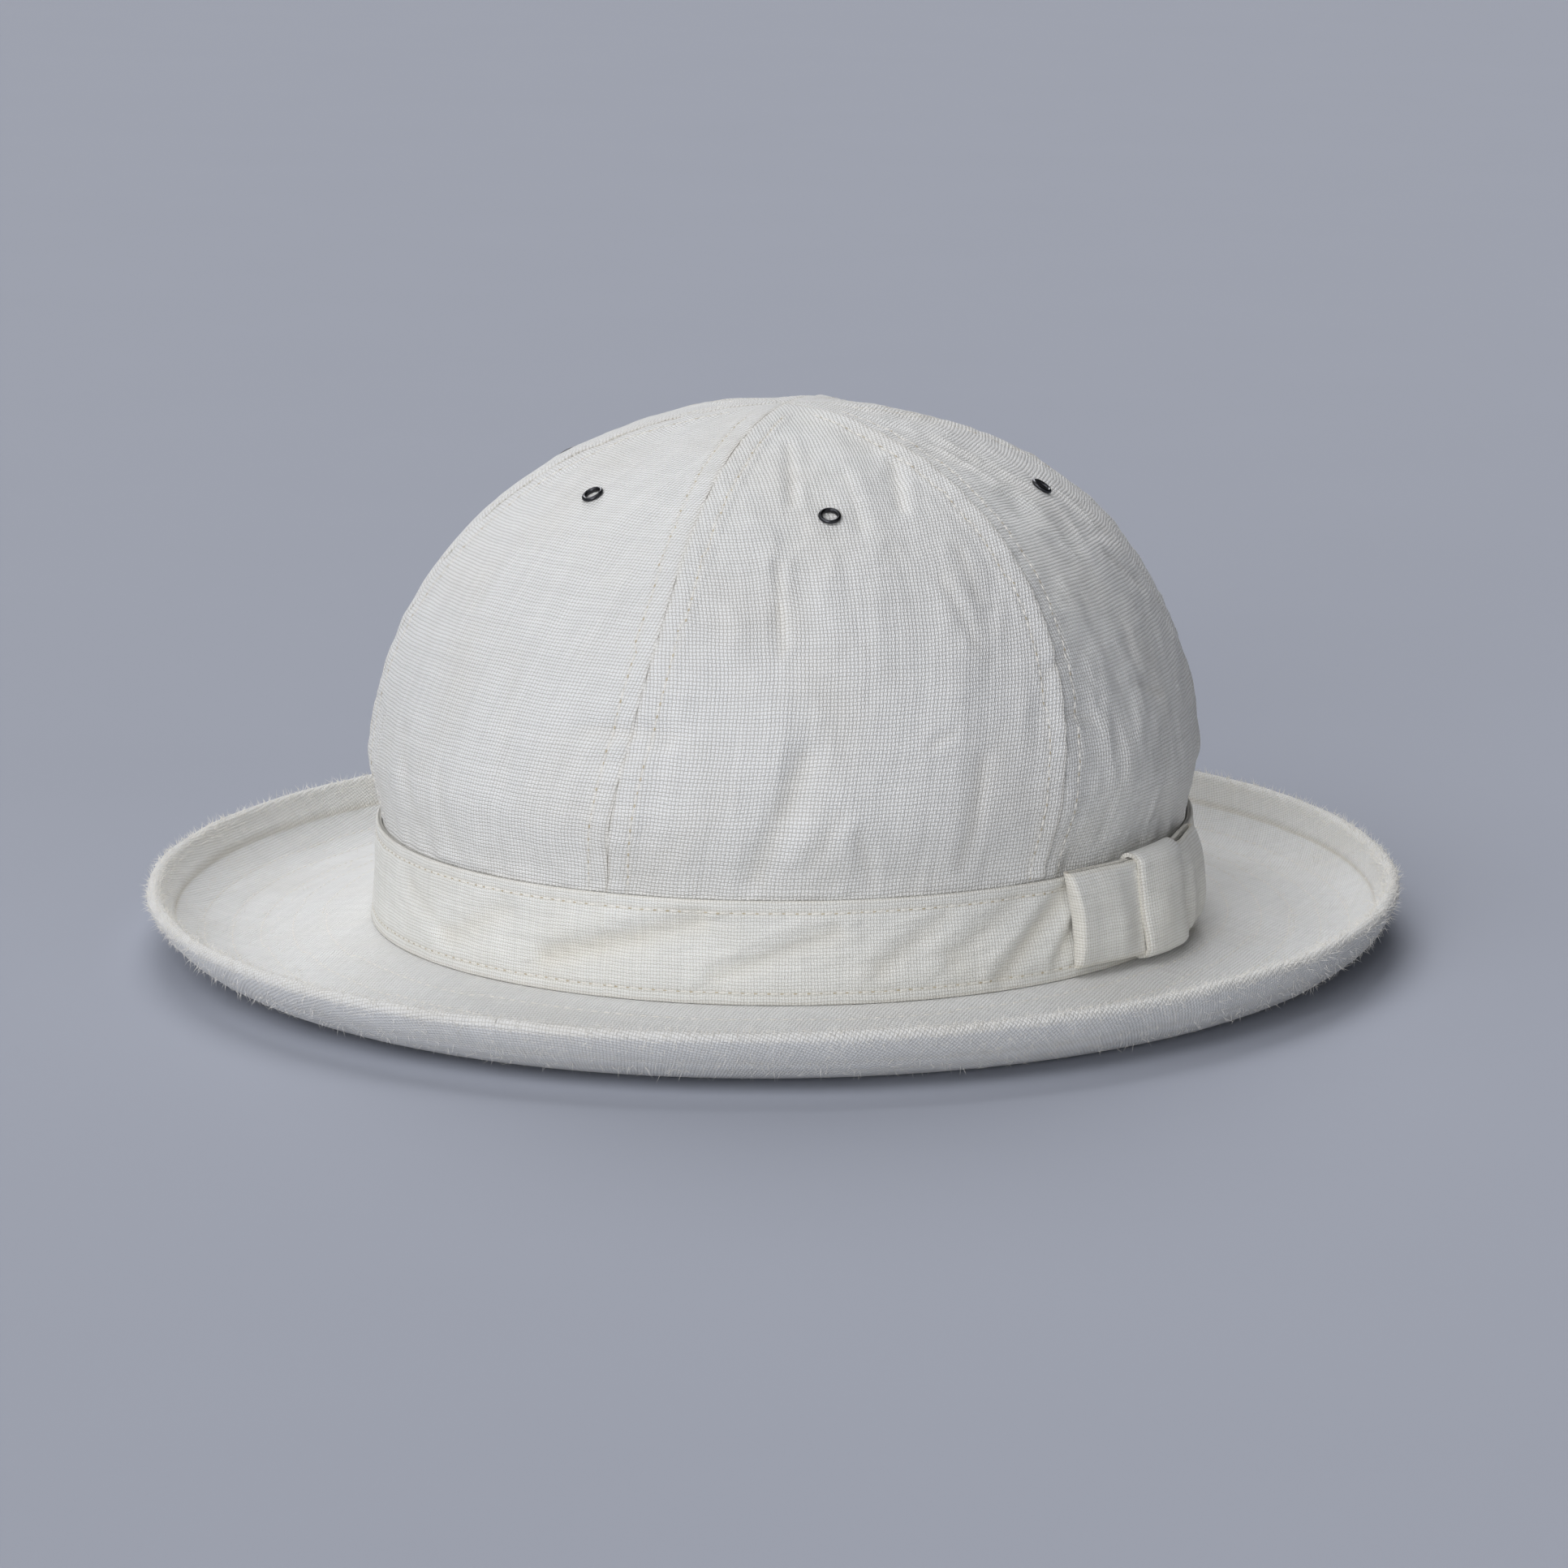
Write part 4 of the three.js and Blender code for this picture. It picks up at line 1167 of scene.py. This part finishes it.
crown_lines = []
for points, normals in crown_grids.values():
    for from_end in (False, True):
        crown_lines.append(grid_line(points, normals, SEAM_STITCH, from_end))
sew("crown", crown_lines, True)

band_lines = []
for place in (BAND_FOOT_STITCH, BAND_HEIGHT - BAND_TOP_STITCH):
    row = np.abs(band_section[:BAND_FACE_STEPS, 0] - place).argmin()
    outwards = oval_point(band_turn, 1, 1.0, 0) - oval_point(band_turn, 1, 0.0, 0)
    band_lines.append((band_points[row], outwards))
sew("band", band_lines, True)

brim_lines = []
for place in BRIM_RINGS:
    row = np.abs(from_rim - place).argmin(axis=0)
    line = upper[row, np.arange(BRIM_COLUMNS + 1)]
    lean = slope[row, np.arange(BRIM_COLUMNS + 1)]
    outwards = oval_point(brim_turn[0], 1, -np.sin(lean), 0) - oval_point(brim_turn[0], 1, 0, 0)
    outwards[:, 2] = np.cos(lean)
    brim_lines.append((line, outwards))
sew("brim", brim_lines, False)

# %% [markdown]
# The brim's linen is brushed, so a soft nap of loose fibres stands off it, most at the rim and on the upper
# face. Particle hair isn't kept by an export, so each fibre is a thin three-sided needle, and all of them
# are joined into one mesh.

# %% Brim nap
NAP_COUNT = 16000
NAP_LENGTH = (0.8, 2.4)
NAP_THICK = 0.06
nap_chance = np.random.default_rng(23)

near_rim = nap_chance.random(NAP_COUNT) < 0.6
nap_rows = np.where(near_rim, nap_chance.integers(0, 12, NAP_COUNT), nap_chance.integers(0, 52, NAP_COUNT))
nap_columns = nap_chance.integers(0, BRIM_COLUMNS, NAP_COUNT)
under_nap = under[:UNDER_STEPS // 2:-1]
nap_grid = np.concatenate([under_nap, rim, upper[:40]])
nap_rows = np.where(nap_chance.random(NAP_COUNT) < 0.45, len(under_nap) + nap_rows, nap_rows)
nap_rows = np.clip(nap_rows, 0, len(nap_grid) - 1)
nap_roots = nap_grid[nap_rows, nap_columns]
rim_heart = (rim_low + rim_high)[nap_columns] / 2
nap_way = nap_roots - rim_heart
nap_way = nap_way / np.maximum(np.linalg.norm(nap_way, axis=1, keepdims=True), 0.5)
nap_way = 0.5 * nap_way + nap_chance.normal(0, 0.6, (NAP_COUNT, 3)) + [0, 0, 0.25]
nap_way = nap_way / np.linalg.norm(nap_way, axis=1, keepdims=True)
nap_tips = nap_roots + nap_way * nap_chance.uniform(*NAP_LENGTH, NAP_COUNT)[:, None]
nap_tips[:, 2] = np.maximum(nap_tips[:, 2], 0.4)
nap_side = np.cross(nap_way, nap_chance.normal(0, 1, (NAP_COUNT, 3)))
nap_side = nap_side / np.linalg.norm(nap_side, axis=1, keepdims=True) * NAP_THICK
nap_other = np.cross(nap_way, nap_side)
nap_low = nap_roots - 0.5 * nap_side
nap_base = [nap_roots + nap_side, nap_low + nap_other, nap_low - nap_other]
nap_points = np.stack([*nap_base, nap_tips], axis=1).reshape(-1, 3)
nap_points[:, 2] = np.maximum(nap_points[:, 2], 0.02)
needle_faces = np.array([[0, 1, 3], [1, 2, 3], [2, 0, 3], [2, 1, 0]])
nap_faces = (needle_faces[None] + 4 * np.arange(NAP_COUNT)[:, None, None]).reshape(-1, 3)
nap_mesh = bpy.data.meshes.new("brim_nap")
nap_mesh.from_pydata((nap_points * MM).tolist(), [], nap_faces.tolist())
nap = bpy.data.objects.new("brim_nap", nap_mesh)
bpy.context.collection.objects.link(nap)
settle(nap, thread, [])
